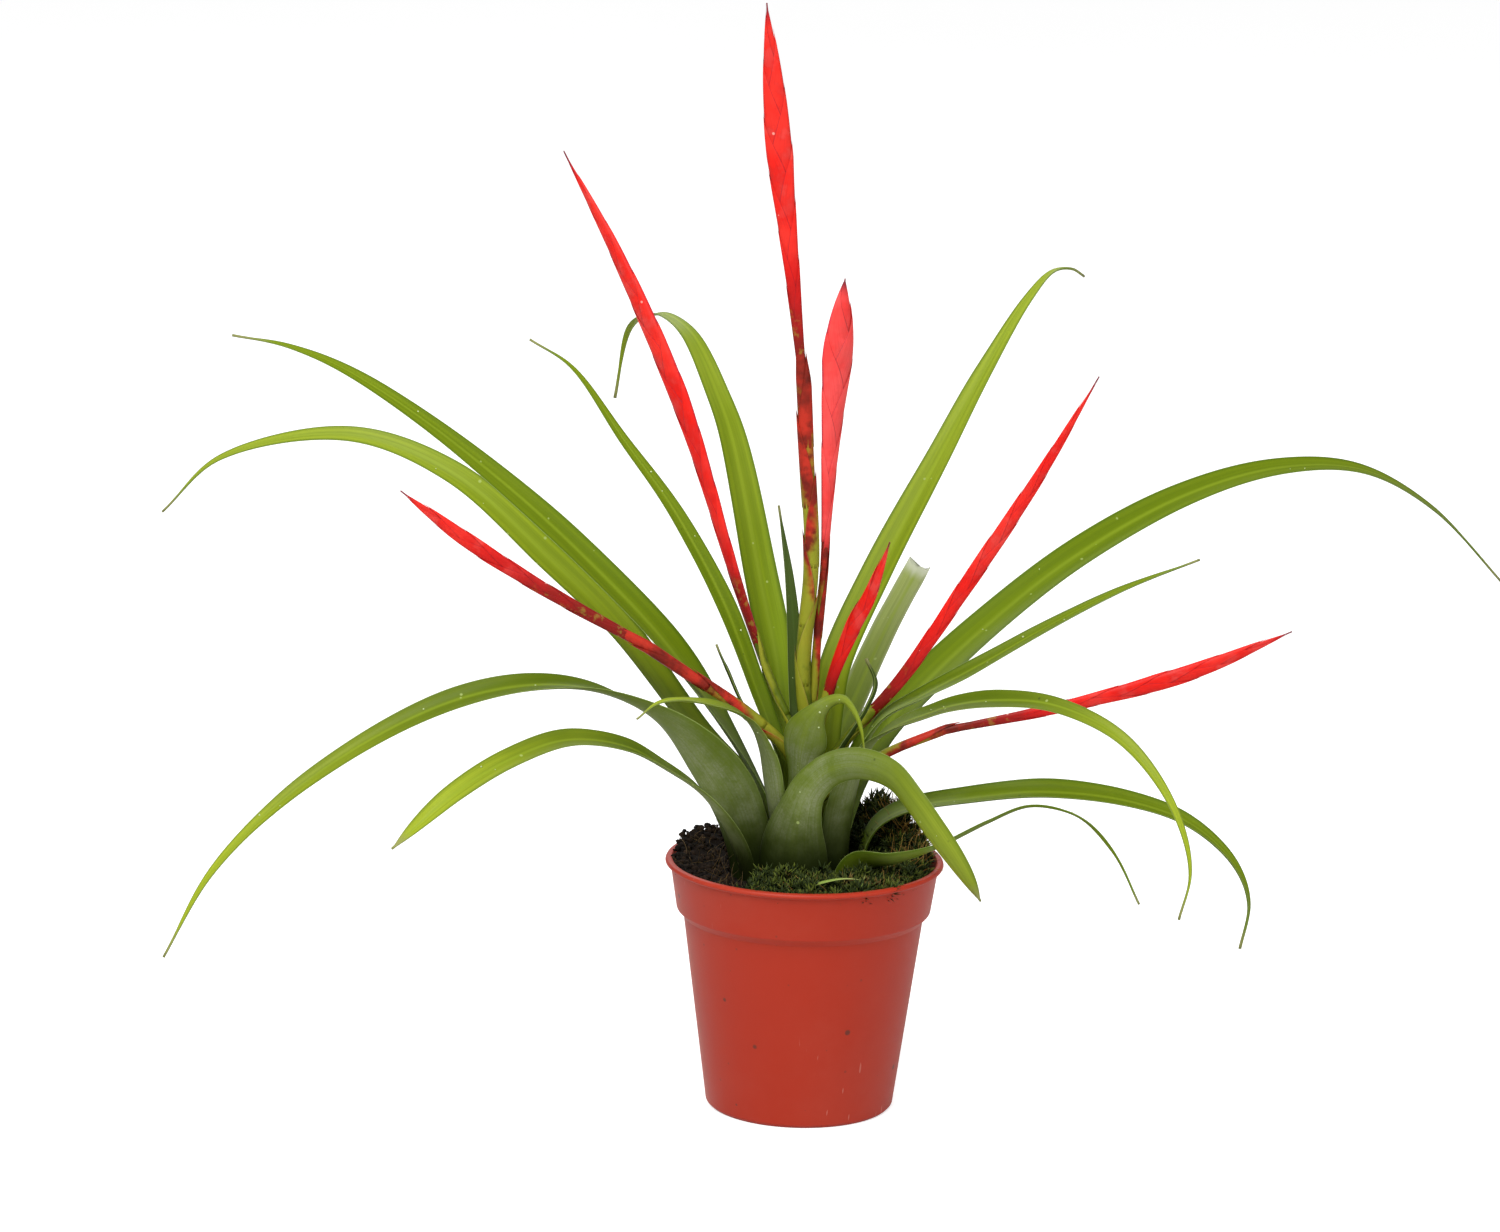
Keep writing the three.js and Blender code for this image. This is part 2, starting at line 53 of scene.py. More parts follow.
Colour = tuple[float, float, float, float]
Line = list[tuple[float, ...]]
Marks = dict[str, float]
Place = Callable[[float, float], tuple[Vector, Marks]]


def smooth(value: float) -> float:
    """Returns 0 to 1 along an S-shaped ramp."""
    share = min(1.0, max(0.0, value))
    return share * share * (3 - 2 * share)


def mix(low: float, high: float, share: float) -> float:
    """Returns the value that lies a share of the way from low to high."""
    return low + (high - low) * share


def bell(value: float, middle: float, span: float) -> float:
    """Returns a bell curve that is 1 at its middle and dies away beyond its span."""
    return math.exp(-(((value - middle) / span) ** 2))


def stage_point(turn: float, out: float, up: float) -> Vector:
    """Places a point by its turn in degrees, its distance from the axis and its height, in mm."""
    angle = math.radians(turn)
    return Vector((out * math.cos(angle), out * math.sin(angle), up)) * MM


def stray(chance: random.Random) -> Vector:
    """Returns a random vector within a cube of side 2."""
    return Vector([chance.uniform(-1, 1) for _ in range(3)])


def to_mesh(part: bmesh.types.BMesh, name: str) -> bpy.types.Mesh:
    """Turns a part into named mesh data and frees it."""
    data = bpy.data.meshes.new(name)
    part.to_mesh(data)
    part.free()
    return data


def add_object(name: str, data: bpy.types.ID) -> bpy.types.Object:
    """Makes a named object of its data and puts it in the scene."""
    made = bpy.data.objects.new(name, data)
    bpy.context.scene.collection.objects.link(made)
    return made


def ball(subdivisions: int) -> bpy.types.Mesh:
    """Returns a ball of radius 1 to make copies of."""
    part = bmesh.new()
    bmesh.ops.create_icosphere(part, subdivisions=subdivisions, radius=1.0)
    return to_mesh(part, "ball")


def spun(outline: Line, steps: int) -> bmesh.types.BMesh:
    """Spins an outline round the upright axis.

    Args:
        outline: the distances from the axis and the heights, in mm.
        steps: how many steps the turn has.

    Returns:
        The closed skin.
    """
    part = bmesh.new()
    spots = [part.verts.new(Vector((out, 0, up)) * MM) for out, up in outline]
    edges = [part.edges.new(pair) for pair in zip(spots, spots[1:])]
    sweep = {"cent": (0, 0, 0), "axis": (0, 0, 1), "angle": math.tau, "steps": steps}
    bmesh.ops.spin(part, geom=spots + edges, use_merge=True, **sweep)
    bmesh.ops.remove_doubles(part, verts=part.verts, dist=WELD * MM)
    bmesh.ops.recalc_face_normals(part, faces=part.faces)
    return part


class Path:
    """A smooth centripetal curve through given points, read by its share of length."""

    STEPS = 24
    LOOK = 0.002

    def __init__(self, points: list[Vector]) -> None:
        """Samples the curve through the points.

        Args:
            points: two points or more, in metres.
        """
        ends = [2 * points[0] - points[1], *points, 2 * points[-1] - points[-2]]
        self.trace = [points[0].copy()]
        for index in range(len(points) - 1):
            self._span(ends[index : index + 4])
        self.marks = [0.0]
        for before, after in zip(self.trace, self.trace[1:]):
            self.marks.append(self.marks[-1] + (after - before).length)
        self.length = self.marks[-1]

    def _span(self, knots: list[Vector]) -> None:
        """Adds the samples between the middle two of the four knots that shape this span."""
        before, start, end, after = knots
        gaps = [math.sqrt((b - a).length) for a, b in zip(knots, knots[1:])]
        chord = (end - start) / gaps[1]
        leave = (start - before) / gaps[0] - (end - before) / (gaps[0] + gaps[1]) + chord
        reach = chord - (after - start) / (gaps[1] + gaps[2]) + (after - end) / gaps[2]
        for step in range(1, self.STEPS + 1):
            share = step / self.STEPS
            square = share * share
            cube = square * share
            self.trace.append(
                start * (2 * cube - 3 * square + 1)
                + leave * gaps[1] * (cube - 2 * square + share)
                + end * (3 * square - 2 * cube)
                + reach * gaps[1] * (cube - square)
            )

    def at(self, share: float) -> Vector:
        """Returns the point a share of the way along the curve."""
        goal = min(1.0, max(0.0, share)) * self.length
        high = min(max(1, bisect_right(self.marks, goal)), len(self.marks) - 1)
        low = high - 1
        step = self.marks[high] - self.marks[low]
        return self.trace[low].lerp(self.trace[high], (goal - self.marks[low]) / step)

    def heading(self, share: float) -> Vector:
        """Returns the direction of the curve a share of the way along it."""
        return (self.at(share + self.LOOK) - self.at(share - self.LOOK)).normalized()


@dataclass
class Station:
    """One cross-section's place on a curve."""

    share: float
    centre: Vector
    ahead: Vector
    side: Vector
    inner: Vector

    def off(self, inwards: float, sideways: float) -> Vector:
        """Returns the point that lies so many mm off the centre."""
        return self.centre + (self.inner * inwards + self.side * sideways) * MM


def stations(path: Path, turn: float, count: int) -> list[Station]:
    """Walks a curve and keeps a frame square to it.

    Args:
        path: the curve.
        turn: the compass turn of the curve's upright plane, in degrees.
        count: how many steps the walk has.

    Returns:
        The stations from the curve's start to its end.
    """
    angle = math.radians(turn)
    side = Vector((-math.sin(angle), math.cos(angle), 0))
    found = []
    for step in range(count + 1):
        share = step / count
        ahead = path.heading(share)
        side = (side - ahead * side.dot(ahead)).normalized()
        found.append(Station(share, path.at(share), ahead, side.copy(), ahead.cross(side)))
    return found


class Shape:
    """Gathers closed skins and copies in one mesh, with numbers that its material reads."""

    def __init__(self, *marks: str) -> None:
        """Starts an empty shape.

        Args:
            marks: names of the numbers kept at each vertex.
        """
        self.mesh = bmesh.new()
        self.layers = {name: self.mesh.verts.layers.float.new(name) for name in marks}

    def sleeve(self, around: int, rows: int, place: Place, merge: float = 0.004) -> None:
        """Adds a grid rolled into a closed skin, whose ends are filled or drawn to a point.

        Args:
            around: steps round the skin.
            rows: steps along it.
            place: gives the point and its marks from the angle round and the share along.
            merge: how close in mm two points are before they become one.
        """
        part = bmesh.new()
        layers = {name: part.verts.layers.float.new(name) for name in self.layers}
        bmesh.ops.create_grid(part, x_segments=around, y_segments=rows, size=0.5)
        for vertex in part.verts:
            point, marks = place(math.tau * (vertex.co.x + 0.5), vertex.co.y + 0.5)
            vertex.co = point
            for name, value in marks.items():
                vertex[layers[name]] = value
        bmesh.ops.remove_doubles(part, verts=part.verts, dist=merge * MM)
        bmesh.ops.dissolve_degenerate(part, edges=part.edges, dist=merge * MM / 4)
        open_edges = [edge for edge in part.edges if edge.is_boundary]
        bmesh.ops.holes_fill(part, edges=open_edges, sides=0)
        bmesh.ops.recalc_face_normals(part, faces=part.faces)
        self.take(part)

    def take(self, part: bmesh.types.BMesh, **marks: float) -> None:
        """Adds a finished part, frees it and writes any given marks on all of it."""
        carrier = to_mesh(part, "carrier")
        self.copy(carrier, Matrix.Identity(4), **marks)
        bpy.data.meshes.remove(carrier)

    def copy(self, template: bpy.types.Mesh, place: Matrix, **marks: float) -> None:
        """Adds one copy of a small template.

        Args:
            template: the mesh to copy.
            place: where the copy goes.
            marks: numbers to write on all of it.
        """
        first = len(self.mesh.verts)
        self.mesh.from_mesh(template)
        self.layers = {name: self.mesh.verts.layers.float[name] for name in self.layers}
        self.mesh.verts.ensure_lookup_table()
        added = self.mesh.verts[first:]
        bmesh.ops.transform(self.mesh, matrix=place, verts=added)
        for name, value in marks.items():
            for vertex in added:
                vertex[self.layers[name]] = value

    def piece(self, name: str, finish: bpy.types.Material, slot: str, *nodes: str) -> bpy.types.Object:
        """Turns the shape into a scene piece that rides on the pot.

        Args:
            name: the piece's name.
            finish: its material.
            slot: the material slot it would take its finish from; not used.
            nodes: the CAD nodes it stands for.

        Returns:
            The finished object.
        """
        for face in self.mesh.faces:
            face.smooth = True
        data = to_mesh(self.mesh, name)
        data.materials.append(finish)
        made = add_object(name, data)
        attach(made, "root")
        if nodes:
            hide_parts(*nodes)
        log.info("%s: %d faces", name, len(data.polygons))
        return made


class Value:
    """A number or colour over a surface, worked out by the nodes that its methods add."""

    def __init__(self, graph: "Graph", socket: bpy.types.NodeSocket) -> None:
        """Keeps the graph that the value grows in and the socket that gives it."""
        self.graph, self.socket = graph, socket

    def __add__(self, other: Any) -> "Value":
        """Returns the sum of two values."""
        return self.graph.math("ADD", self, other)

    def __sub__(self, other: Any) -> "Value":
        """Returns this value less another."""
        return self.graph.math("SUBTRACT", self, other)

    def __mul__(self, other: Any) -> "Value":
        """Returns the product of two values."""
        return self.graph.math("MULTIPLY", self, other)

    def __truediv__(self, other: Any) -> "Value":
        """Returns this value divided by another."""
        return self.graph.math("DIVIDE", self, other)

    def swing(self, base: Any, by: float) -> "Value":
        """Returns a base that this noise moves up and down by half of a swing."""
        return self * by + (base - by / 2)

    def ramp(self, start: float, end: float, low: float = 0.0, high: float = 1.0) -> "Value":
        """Returns a smooth ramp from low to high while this value goes from start to end."""
        inputs = {"Value": self, 1: start, 2: end, 3: low, 4: high}
        return self.graph.value("MapRange", inputs, interpolation_type="SMOOTHSTEP")


@dataclass(frozen=True)
class Band:
    """A smooth step: where a value starts and ends it, and what it goes from and to."""

    start: float
    end: float
    low: float = 0.0
    high: float = 1.0

    def of(self, value: Value) -> Value:
        """Returns the step of a value."""
        return value.ramp(self.start, self.end, self.low, self.high)


@dataclass(frozen=True)
class Tint:
    """A colour that comes in between two marks of a value, and how much of it shows at most."""

    colour: Colour
    start: float = 0.0
    end: float = 1.0
    amount: float = 1.0

    def on(self, value: Value, mask: Value | None = None) -> "Coat":
        """Returns the coat that follows a value, held back by a mask where one is given."""
        step = value.ramp(self.start, self.end, high=self.amount)
        return Coat(self.colour, step * mask if mask else step)

    def mask(self, mask: Value) -> "Coat":
        """Returns the coat that follows a mask."""
        return Coat(self.colour, mask * self.amount)


@dataclass(frozen=True)
class Coat:
    """One colour laid over others, and the mask that says where."""

    colour: Colour
    mask: Value


@dataclass(frozen=True)
class Grain:
    """A noise: its scale, its detail and its roughness."""

    scale: float
    detail: float = 3.0
    rough: float = 0.5

    def on(self, graph: "Graph", where: Value | None = None) -> Value:
        """Returns the noise at a place, which is the Object coordinates unless one is given."""
        inputs = {"Scale": self.scale, "Detail": self.detail, "Roughness": self.rough}
        return graph.value("TexNoise", {"Vector": where or graph.place(), **inputs})


@dataclass(frozen=True)
class Specks:
    """Scattered spots: the spacing of their places in metres, the share of them filled, and a colour."""

    spacing: float
    share: float
    colour: Colour
    amount: float

    def on(self, graph: "Graph") -> Coat:
        """Returns the coat of spots."""
        return Coat(self.colour, graph.spots(self.spacing, self.share) * self.amount)


class Graph:
    """Places and links the nodes of one tree."""

    NEAR = 0.6
    SPOT_SPAN = 0.2
    SPOT_LEAST = 0.08
    VEIN_STRETCH = 3.0
    VEIN_GRAIN = Grain(1.0, 2.0)

    def __init__(self, tree: bpy.types.NodeTree) -> None:
        """Keeps the tree that the nodes go into."""
        self.tree = tree

    def feed(self, socket: bpy.types.NodeSocket, value: Any) -> None:
        """Links a socket to a value, or sets its plain number or colour."""
        if isinstance(value, Value):
            self.tree.links.new(value.socket, socket)
        else:
            socket.default_value = value

    def add(self, kind: str, inputs: dict[Any, Any], **settings: Any) -> bpy.types.Node:
        """Adds a node.

        Args:
            kind: the node's type, without its ShaderNode prefix.
            inputs: what goes into its sockets, by name or number.
            settings: its own options.

        Returns:
            The node.
        """
        node = self.tree.nodes.new("ShaderNode" + kind)
        for name, value in settings.items():
            setattr(node, name, value)
        for name, value in inputs.items():
            self.feed(node.inputs[name], value)
        return node

    def value(self, kind: str, inputs: dict[Any, Any], output: Any = 0, **settings: Any) -> Value:
        """Adds a node and returns one of its outputs, by name or number."""
        return Value(self, self.add(kind, inputs, **settings).outputs[output])

    def math(self, operation: str, first: Any, second: Any = 0.0) -> Value:
        """Returns the result of a Math node."""
        return self.value("Math", {0: first, 1: second}, operation=operation)

    def coats(self, body: Any, *coats: Coat) -> Value:
        """Lays coats over a body colour in turn and returns the colour that comes out."""
        for coat in coats:
            body = self.value("Mix", {0: coat.mask, 6: body, 7: coat.colour}, 2, data_type="RGBA")
        return body

    def marks(self, *names: str) -> list[Value]:
        """Returns numbers that are kept at the vertices."""
        return [self.value("Attribute", {}, "Fac", attribute_name=name) for name in names]

    def place(self) -> Value:
        """Returns Object coordinates."""
        return self.value("TexCoord", {}, "Object")

    def bump(self, height: Value, depth: float, strength: float) -> Value:
        """Returns the normal of a fine relief of a given depth in mm."""
        return self.value("Bump", {"Height": height, "Distance": depth * MM, "Strength": strength})

    def group(self, name: str, inputs: dict[str, Any], build: Callable[..., Value]) -> Value:
        """Uses a node group that finishes share, and builds it the first time.

        Args:
            name: the group's name.
            inputs: what goes into it, by name.
            build: works out its one number from its graph and its inputs.

        Returns:
            The group's number.
        """
        if name not in bpy.data.node_groups:
            tree = bpy.data.node_groups.new(name, "ShaderNodeTree")
            for title in inputs:
                kind = "NodeSocketVector" if title == "Place" else "NodeSocketFloat"
                tree.interface.new_socket(name=title, in_out="INPUT", socket_type=kind)
            tree.interface.new_socket(name="Value", in_out="OUTPUT", socket_type="NodeSocketFloat")
            inner, entry = Graph(tree), tree.nodes.new("NodeGroupInput")
            result = build(inner, *[Value(inner, entry.outputs[title]) for title in inputs])
            inner.feed(tree.nodes.new("NodeGroupOutput").inputs[0], result)
        node = self.add("Group", {}, node_tree=bpy.data.node_groups[name])
        for title, value in inputs.items():
            self.feed(node.inputs[title], value)
        return Value(self, node.outputs[0])

    def spots(self, spacing: float, share: float) -> Value:
        """Returns a mask of scattered small spots.

        Args:
            spacing: the spacing of the places for spots, in metres.
            share: how many of the places hold a spot.
        """

        def build(graph: Graph, place: Value, spacing: Value, share: Value) -> Value:
            """Works out the mask."""
            cells = graph.add("TexVoronoi", {"Vector": place, "Scale": graph.math("DIVIDE", 1.0, spacing)})
            picked = graph.add("SeparateColor", {"Color": Value(graph, cells.outputs["Color"])})
            kept = graph.math("LESS_THAN", Value(graph, picked.outputs[0]), share)
            width = Value(graph, picked.outputs[1]) * self.SPOT_SPAN + self.SPOT_LEAST
            return (Value(graph, cells.outputs["Distance"]) / width).ramp(1.0, self.NEAR) * kept

        inputs = {"Place": self.place(), "Spacing": spacing, "Share": share}
        return self.group("scattered spots", inputs, build)

    def veins(self, across: Value, along: Value, count: float) -> Value:
        """Returns fine lines that run along a blade.

        Args:
            across: the place across the blade, from -1 to 1.
            along: the share along it.
            count: how many lines it has.
        """

        def build(graph: Graph, across: Value, along: Value, count: Value) -> Value:
            """Works out the lines."""
            inputs = {0: across * count, 1: along * self.VEIN_STRETCH}
            return self.VEIN_GRAIN.on(graph, graph.value("CombineXYZ", inputs))

        return self.group("blade lines", {"Across": across, "Along": along, "Count": count}, build)


@dataclass(frozen=True)
class Finish:
    """What every finish shares: a name, its gloss and the depth in mm and strength of its relief."""

    name: str
    roughness: float = 0.5
    specular: float = 0.5
    depth: float = 0.12
    strength: float = 0.3

    def make(self) -> bpy.types.Material:
        """Makes the material round its Principled shader."""
        made = bpy.data.materials.new(self.name)
        made.use_nodes = True
        made.node_tree.nodes.clear()
        graph = Graph(made.node_tree)
        inputs = {"Specular IOR Level": self.specular, **self.skin(graph)}
        graph.add("OutputMaterial", {"Surface": graph.value("BsdfPrincipled", inputs)})
        return made

    def skin(self, graph: Graph) -> dict[str, Any]:
        """Returns what goes into the shader's sockets."""
        raise NotImplementedError

    def inputs(self, graph: Graph, body: Value, rough: Value, height: Value) -> dict[str, Any]:
        """Returns the sockets for a colour, a roughness and the height of the fine relief."""
        relief = graph.bump(height, self.depth, self.strength)
        return {"Base Color": body, "Roughness": rough, "Normal": relief}


@dataclass(frozen=True)
class MottledFinish(Finish):
    """Two shades that drift into each other, with a glow that only the camera sees."""

    first: Colour = (1, 1, 1, 1)
    second: Colour = (1, 1, 1, 1)
    grain: Grain = Grain(3.0)
    glow: float = 0.0

    def skin(self, graph: Graph) -> dict[str, Any]:
        """Returns what goes into the shader's sockets."""
        body = graph.coats(self.first, Coat(self.second, self.grain.on(graph)))
        sockets = {"Base Color": body, "Roughness": self.roughness}
        if self.glow:
            seen = graph.value("LightPath", {}, "Is Camera Ray")
            sockets |= {"Emission Color": (1, 1, 1, 1), "Emission Strength": seen * self.glow}
        return sockets


@dataclass(frozen=True)
class LeafFinish(Finish):
    """Green leaf skin: painted shade at its foot, where the leaves crowd together and sink into the moss,
    grey scurf on the sheath, fine lines and a pale midline.
    """

    roughness: float = 0.4
    specular: float = 0.12
    middle: Colour = (0.150, 0.220, 0.003, 1)
    # end: lighter towards the tip, partly the leaf's own colour and partly painted light where the tips hang
    # out into the light, most of all in the grey leaves
    end: Tint = Tint((0.185, 0.255, 0.006, 1), 0.45, 0.95)
    end_drift: float = 0.4
    back: Tint = Tint((0.120, 0.180, 0.008, 1), amount=0.5)
    deep: Colour = (0.050, 0.095, 0.002, 1)
    broad: Band = Band(0.6, 0.36, high=0.28)
    broad_count: float = 2.6
    fine: Band = Band(0.6, 0.35, high=0.16)
    fine_count: float = 30.0
    midline: Tint = Tint((0.25, 0.34, 0.02, 1), 0.22, 0.0, 0.5)
    midline_loss: float = -0.8
    edge: Tint = Tint((0.07, 0.13, 0.004, 1), 0.72, 1.0, 0.75)
    # rim: a pale line along the very edge, partly the leaf's own pale margin and partly a painted glint
    # where the edge catches the light
    rim: Tint = Tint((0.42, 0.52, 0.16, 1), 0.965, 1.0, 0.6)
    scurf: Colour = (0.30, 0.33, 0.19, 1)
    scurf_face: Band = Band(0.0, 1.0, 0.55)
    bloom: float = 0.25
    bloom_patch: Band = Band(0.3, 0.66, 0.15)
    bloom_dust: Band = Band(0.3, 0.7, 0.55)
    bloom_streaks: Band = Band(0.3, 0.62, 0.5)
    bloom_count: float = 16.0
    bloom_rise: Band = Band(0.14, 0.4)
    bloom_fall: Band = Band(1.0, 0.5)
    bloom_centre: Band = Band(1.0, 0.6, 0.25)
    # foot: painted shade, dark green-black low on the leaf where the leaves crowd together and sink into the
    # moss; it reaches higher near the edges
    foot: Tint = Tint((0.012, 0.018, 0.003, 1), 0.34, 0.0)
    foot_drift: float = 0.12
    foot_shade_spread: float = 0.03
    specks: Specks = Specks(0.003, 0.02, (0.02, 0.03, 0.01, 1), 0.5)
    glints: Specks = Specks(0.0024, 0.04, (0.42, 0.52, 0.16, 1), 0.6)
    dry: Tint = Tint((0.26, 0.26, 0.10, 1), 0.965, 1.01, 0.8)
    dry_drift: float = 0.03
    cloud: Grain = Grain(22.0)
    patch: Grain = Grain(90.0, 4.0, 0.6)
    dust: Grain = Grain(1400.0, 2.0, 0.7)
    gloss_drift: float = 0.16
    scurf_rough: float = 0.5
    relief: tuple[float, float] = (0.3, 0.6)

    def skin(self, graph: Graph) -> dict[str, Any]:
        """Returns what goes into the shader's sockets."""
        along, across, outer, reach = graph.marks("along", "across", "outer", "reach")
        cloud, patch, dust = self.cloud.on(graph), self.patch.on(graph), self.dust.on(graph)
        spread = graph.math("ABSOLUTE", across)
        lines = graph.veins(across, along, self.fine_count)
        streaks = self.bloom_streaks.of(graph.veins(across, along, self.bloom_count))
        scurf = self.bloom_patch.of(patch) * self.bloom_dust.of(dust) * streaks
        scurf = scurf * (self.bloom_rise.of(reach) * self.bloom_fall.of(reach))
        scurf = scurf * (self.bloom_centre.of(spread) * self.bloom)
        body = graph.coats(
            self.middle,
            # lighter towards the tip: partly the leaf's colour, partly painted light
            self.end.on(cloud.swing(along, self.end_drift)),
            self.back.mask(outer),
            Coat(self.deep, self.broad.of(graph.veins(across, along, self.broad_count))),
            Coat(self.deep, self.fine.of(lines)),
            self.midline.on(spread, outer * self.midline_loss + 1),
            self.edge.on(spread),
            # pale edge line: partly the leaf's margin, partly a painted glint
            self.rim.on(spread),
            Coat(self.scurf, scurf * self.scurf_face.of(outer)),
            # painted shade at the foot of the leaf, reaching higher near its edges
            self.foot.on(patch.swing(reach, self.foot_drift) - spread * self.foot_shade_spread),
            self.specks.on(graph),
            self.glints.on(graph),
            self.dry.on(patch * self.dry_drift + along),
        )
        rough = scurf * self.scurf_rough + cloud.swing(self.roughness, self.gloss_drift)
        return self.inputs(graph, body, rough, dust * self.relief[0] + lines * self.relief[1])


@dataclass(frozen=True)
class BractFinish(Finish):
    """Scarlet bract skin with a maroon keel and margins, painted crimson shade at each bract's foot where it
    comes out from under the one before, a painted pale sheen, painted pale glints and a mottled foot.
    """

    roughness: float = 0.38
    specular: float = 0.14
    body: Colour = (0.80, 0.013, 0.007, 1)
    lit: Tint = Tint((0.86, 0.034, 0.022, 1), 0.4, 0.6)
    # painted sheen: pale pink patches on the upper part of the head that stand in for a glossy highlight
    painted_sheen: Tint = Tint((0.90, 0.15, 0.13, 1), 0.5, 0.66)
    painted_sheen_rise: Band = Band(0.3, 0.6, 0.05, 0.3)
    deep: Colour = (0.40, 0.006, 0.008, 1)
    # root: painted shade, crimson at the foot of each bract where it comes out from under the one before
    root: Band = Band(0.85, 0.3, high=0.35)
    root_shade_patch: Band = Band(0.36, 0.6, 0.2)
    fine: Band = Band(0.6, 0.3, high=0.2)
    fine_count: float = 22.0
    low: Band = Band(1.25, 0.6, high=0.8)
    brown: Tint = Tint((0.16, 0.012, 0.007, 1), 0.95, 0.25, 0.8)
    green: Tint = Tint((0.30, 0.24, 0.03, 1), 0.52, 0.64, 0.5)
    green_rise: Band = Band(0.8, 0.4)
    keel: Tint = Tint((0.42, 0.035, 0.085, 1), 0.13, 0.03, 0.6)
    margin: Tint = Tint((0.30, 0.018, 0.035, 1), 0.93, 1.0, 0.5)
    end: Tint = Tint((0.30, 0.018, 0.035, 1), 0.93, 1.01, 0.9)
    end_drift: float = 0.05
    tip: Tint = Tint((0.09, 0.014, 0.03, 1), 0.95, 1.01, 0.85)
    tip_drift: float = 0.03
    # specks: pale pink specks, painted glints as of wet spots catching the light
    specks: Specks = Specks(0.0022, 0.05, (0.9, 0.5, 0.42, 1), 0.6)
    cloud: Grain = Grain(45.0, 4.0, 0.6)
    patch: Grain = Grain(150.0, rough=0.6)
    bits: Grain = Grain(310.0, rough=0.6)
    foot_drift: float = 0.7
    gloss_drift: float = 0.2
    least: float = 0.01

    def skin(self, graph: Graph) -> dict[str, Any]:
        """Returns what goes into the shader's sockets."""
        along, across, rise, ripe = graph.marks("along", "across", "rise", "ripe")
        cloud, patch, bits = self.cloud.on(graph), self.patch.on(graph), self.bits.on(graph)
        spread = graph.math("ABSOLUTE", across)
        lines = graph.veins(across, along, self.fine_count)
        up = patch.swing(rise / graph.math("MAXIMUM", ripe, self.least), self.foot_drift)
        body = graph.coats(
            self.body,
            self.lit.on(cloud),
            # painted sheen on the upper head
            self.painted_sheen.on(patch, self.painted_sheen_rise.of(rise)),
            # painted shade at each bract's foot
            Coat(self.deep, self.root.of(along) * self.root_shade_patch.of(patch)),
            Coat(self.deep, self.fine.of(lines)),
            Coat(self.deep, self.low.of(up)),
            self.brown.on(up),
            self.green.on(bits, self.green_rise.of(up)),
            self.keel.on(spread),
            self.margin.on(spread),
            self.end.on(patch * self.end_drift + along),
            self.tip.on(patch * self.tip_drift + rise),
            # pale specks: painted glints
            self.specks.on(graph),
        )
        return self.inputs(graph, body, cloud.swing(self.roughness, self.gloss_drift), lines)


@dataclass(frozen=True)
class StalkFinish(Finish):
    """Flower stem with clasping sheaths, yellow-green low down and mottled red-brown above."""

    roughness: float = 0.42
    specular: float = 0.14
    depth: float = 0.15
    strength: float = 0.25
    body: Colour = (0.20, 0.015, 0.008, 1)
    bright: Tint = Tint((0.60, 0.034, 0.017, 1), 0.42, 0.62, 0.75)
    dark: Tint = Tint((0.09, 0.010, 0.006, 1), 0.5, 0.7, 0.7)
    green: Tint = Tint((0.27, 0.30, 0.020, 1), 1.35, 0.95, 0.92)
    leafy: Tint = Tint((0.07, 0.115, 0.004, 1), 0.5, 0.1, 0.85)
    edge: Tint = Tint((0.42, 0.34, 0.08, 1), 0.9, 1.0, 0.6)
    edge_rise: Band = Band(2.0, 1.0)
    end: Tint = Tint((0.09, 0.010, 0.006, 1), 0.9, 1.0, 0.7)
    cloud: Grain = Grain(70.0, 4.0, 0.6)
    patch: Grain = Grain(210.0, rough=0.6)
    patch_drift: float = 0.9
    along_drift: float = 0.4
    spread_drift: float = 0.55
    start: float = 0.2
    gloss_drift: float = 0.2
    least: float = 0.01

    def skin(self, graph: Graph) -> dict[str, Any]:
        """Returns what goes into the shader's sockets."""
        along, across, rise, verdant = graph.marks("along", "across", "rise", "verdant")
        cloud, patch = self.cloud.on(graph), self.patch.on(graph)
        spread = graph.math("ABSOLUTE", across)
        height = patch.swing(rise / graph.math("MAXIMUM", verdant, self.least), self.patch_drift)
        height = height + along * self.along_drift + (spread * self.spread_drift - self.start)
        body = graph.coats(
            self.body,
            self.bright.on(cloud),
            self.dark.on(patch),
            self.green.on(height),
            self.leafy.on(height),
            self.edge.on(spread, self.edge_rise.of(height)),
            self.end.on(along),
        )
        return self.inputs(graph, body, cloud.swing(self.roughness, self.gloss_drift), patch)


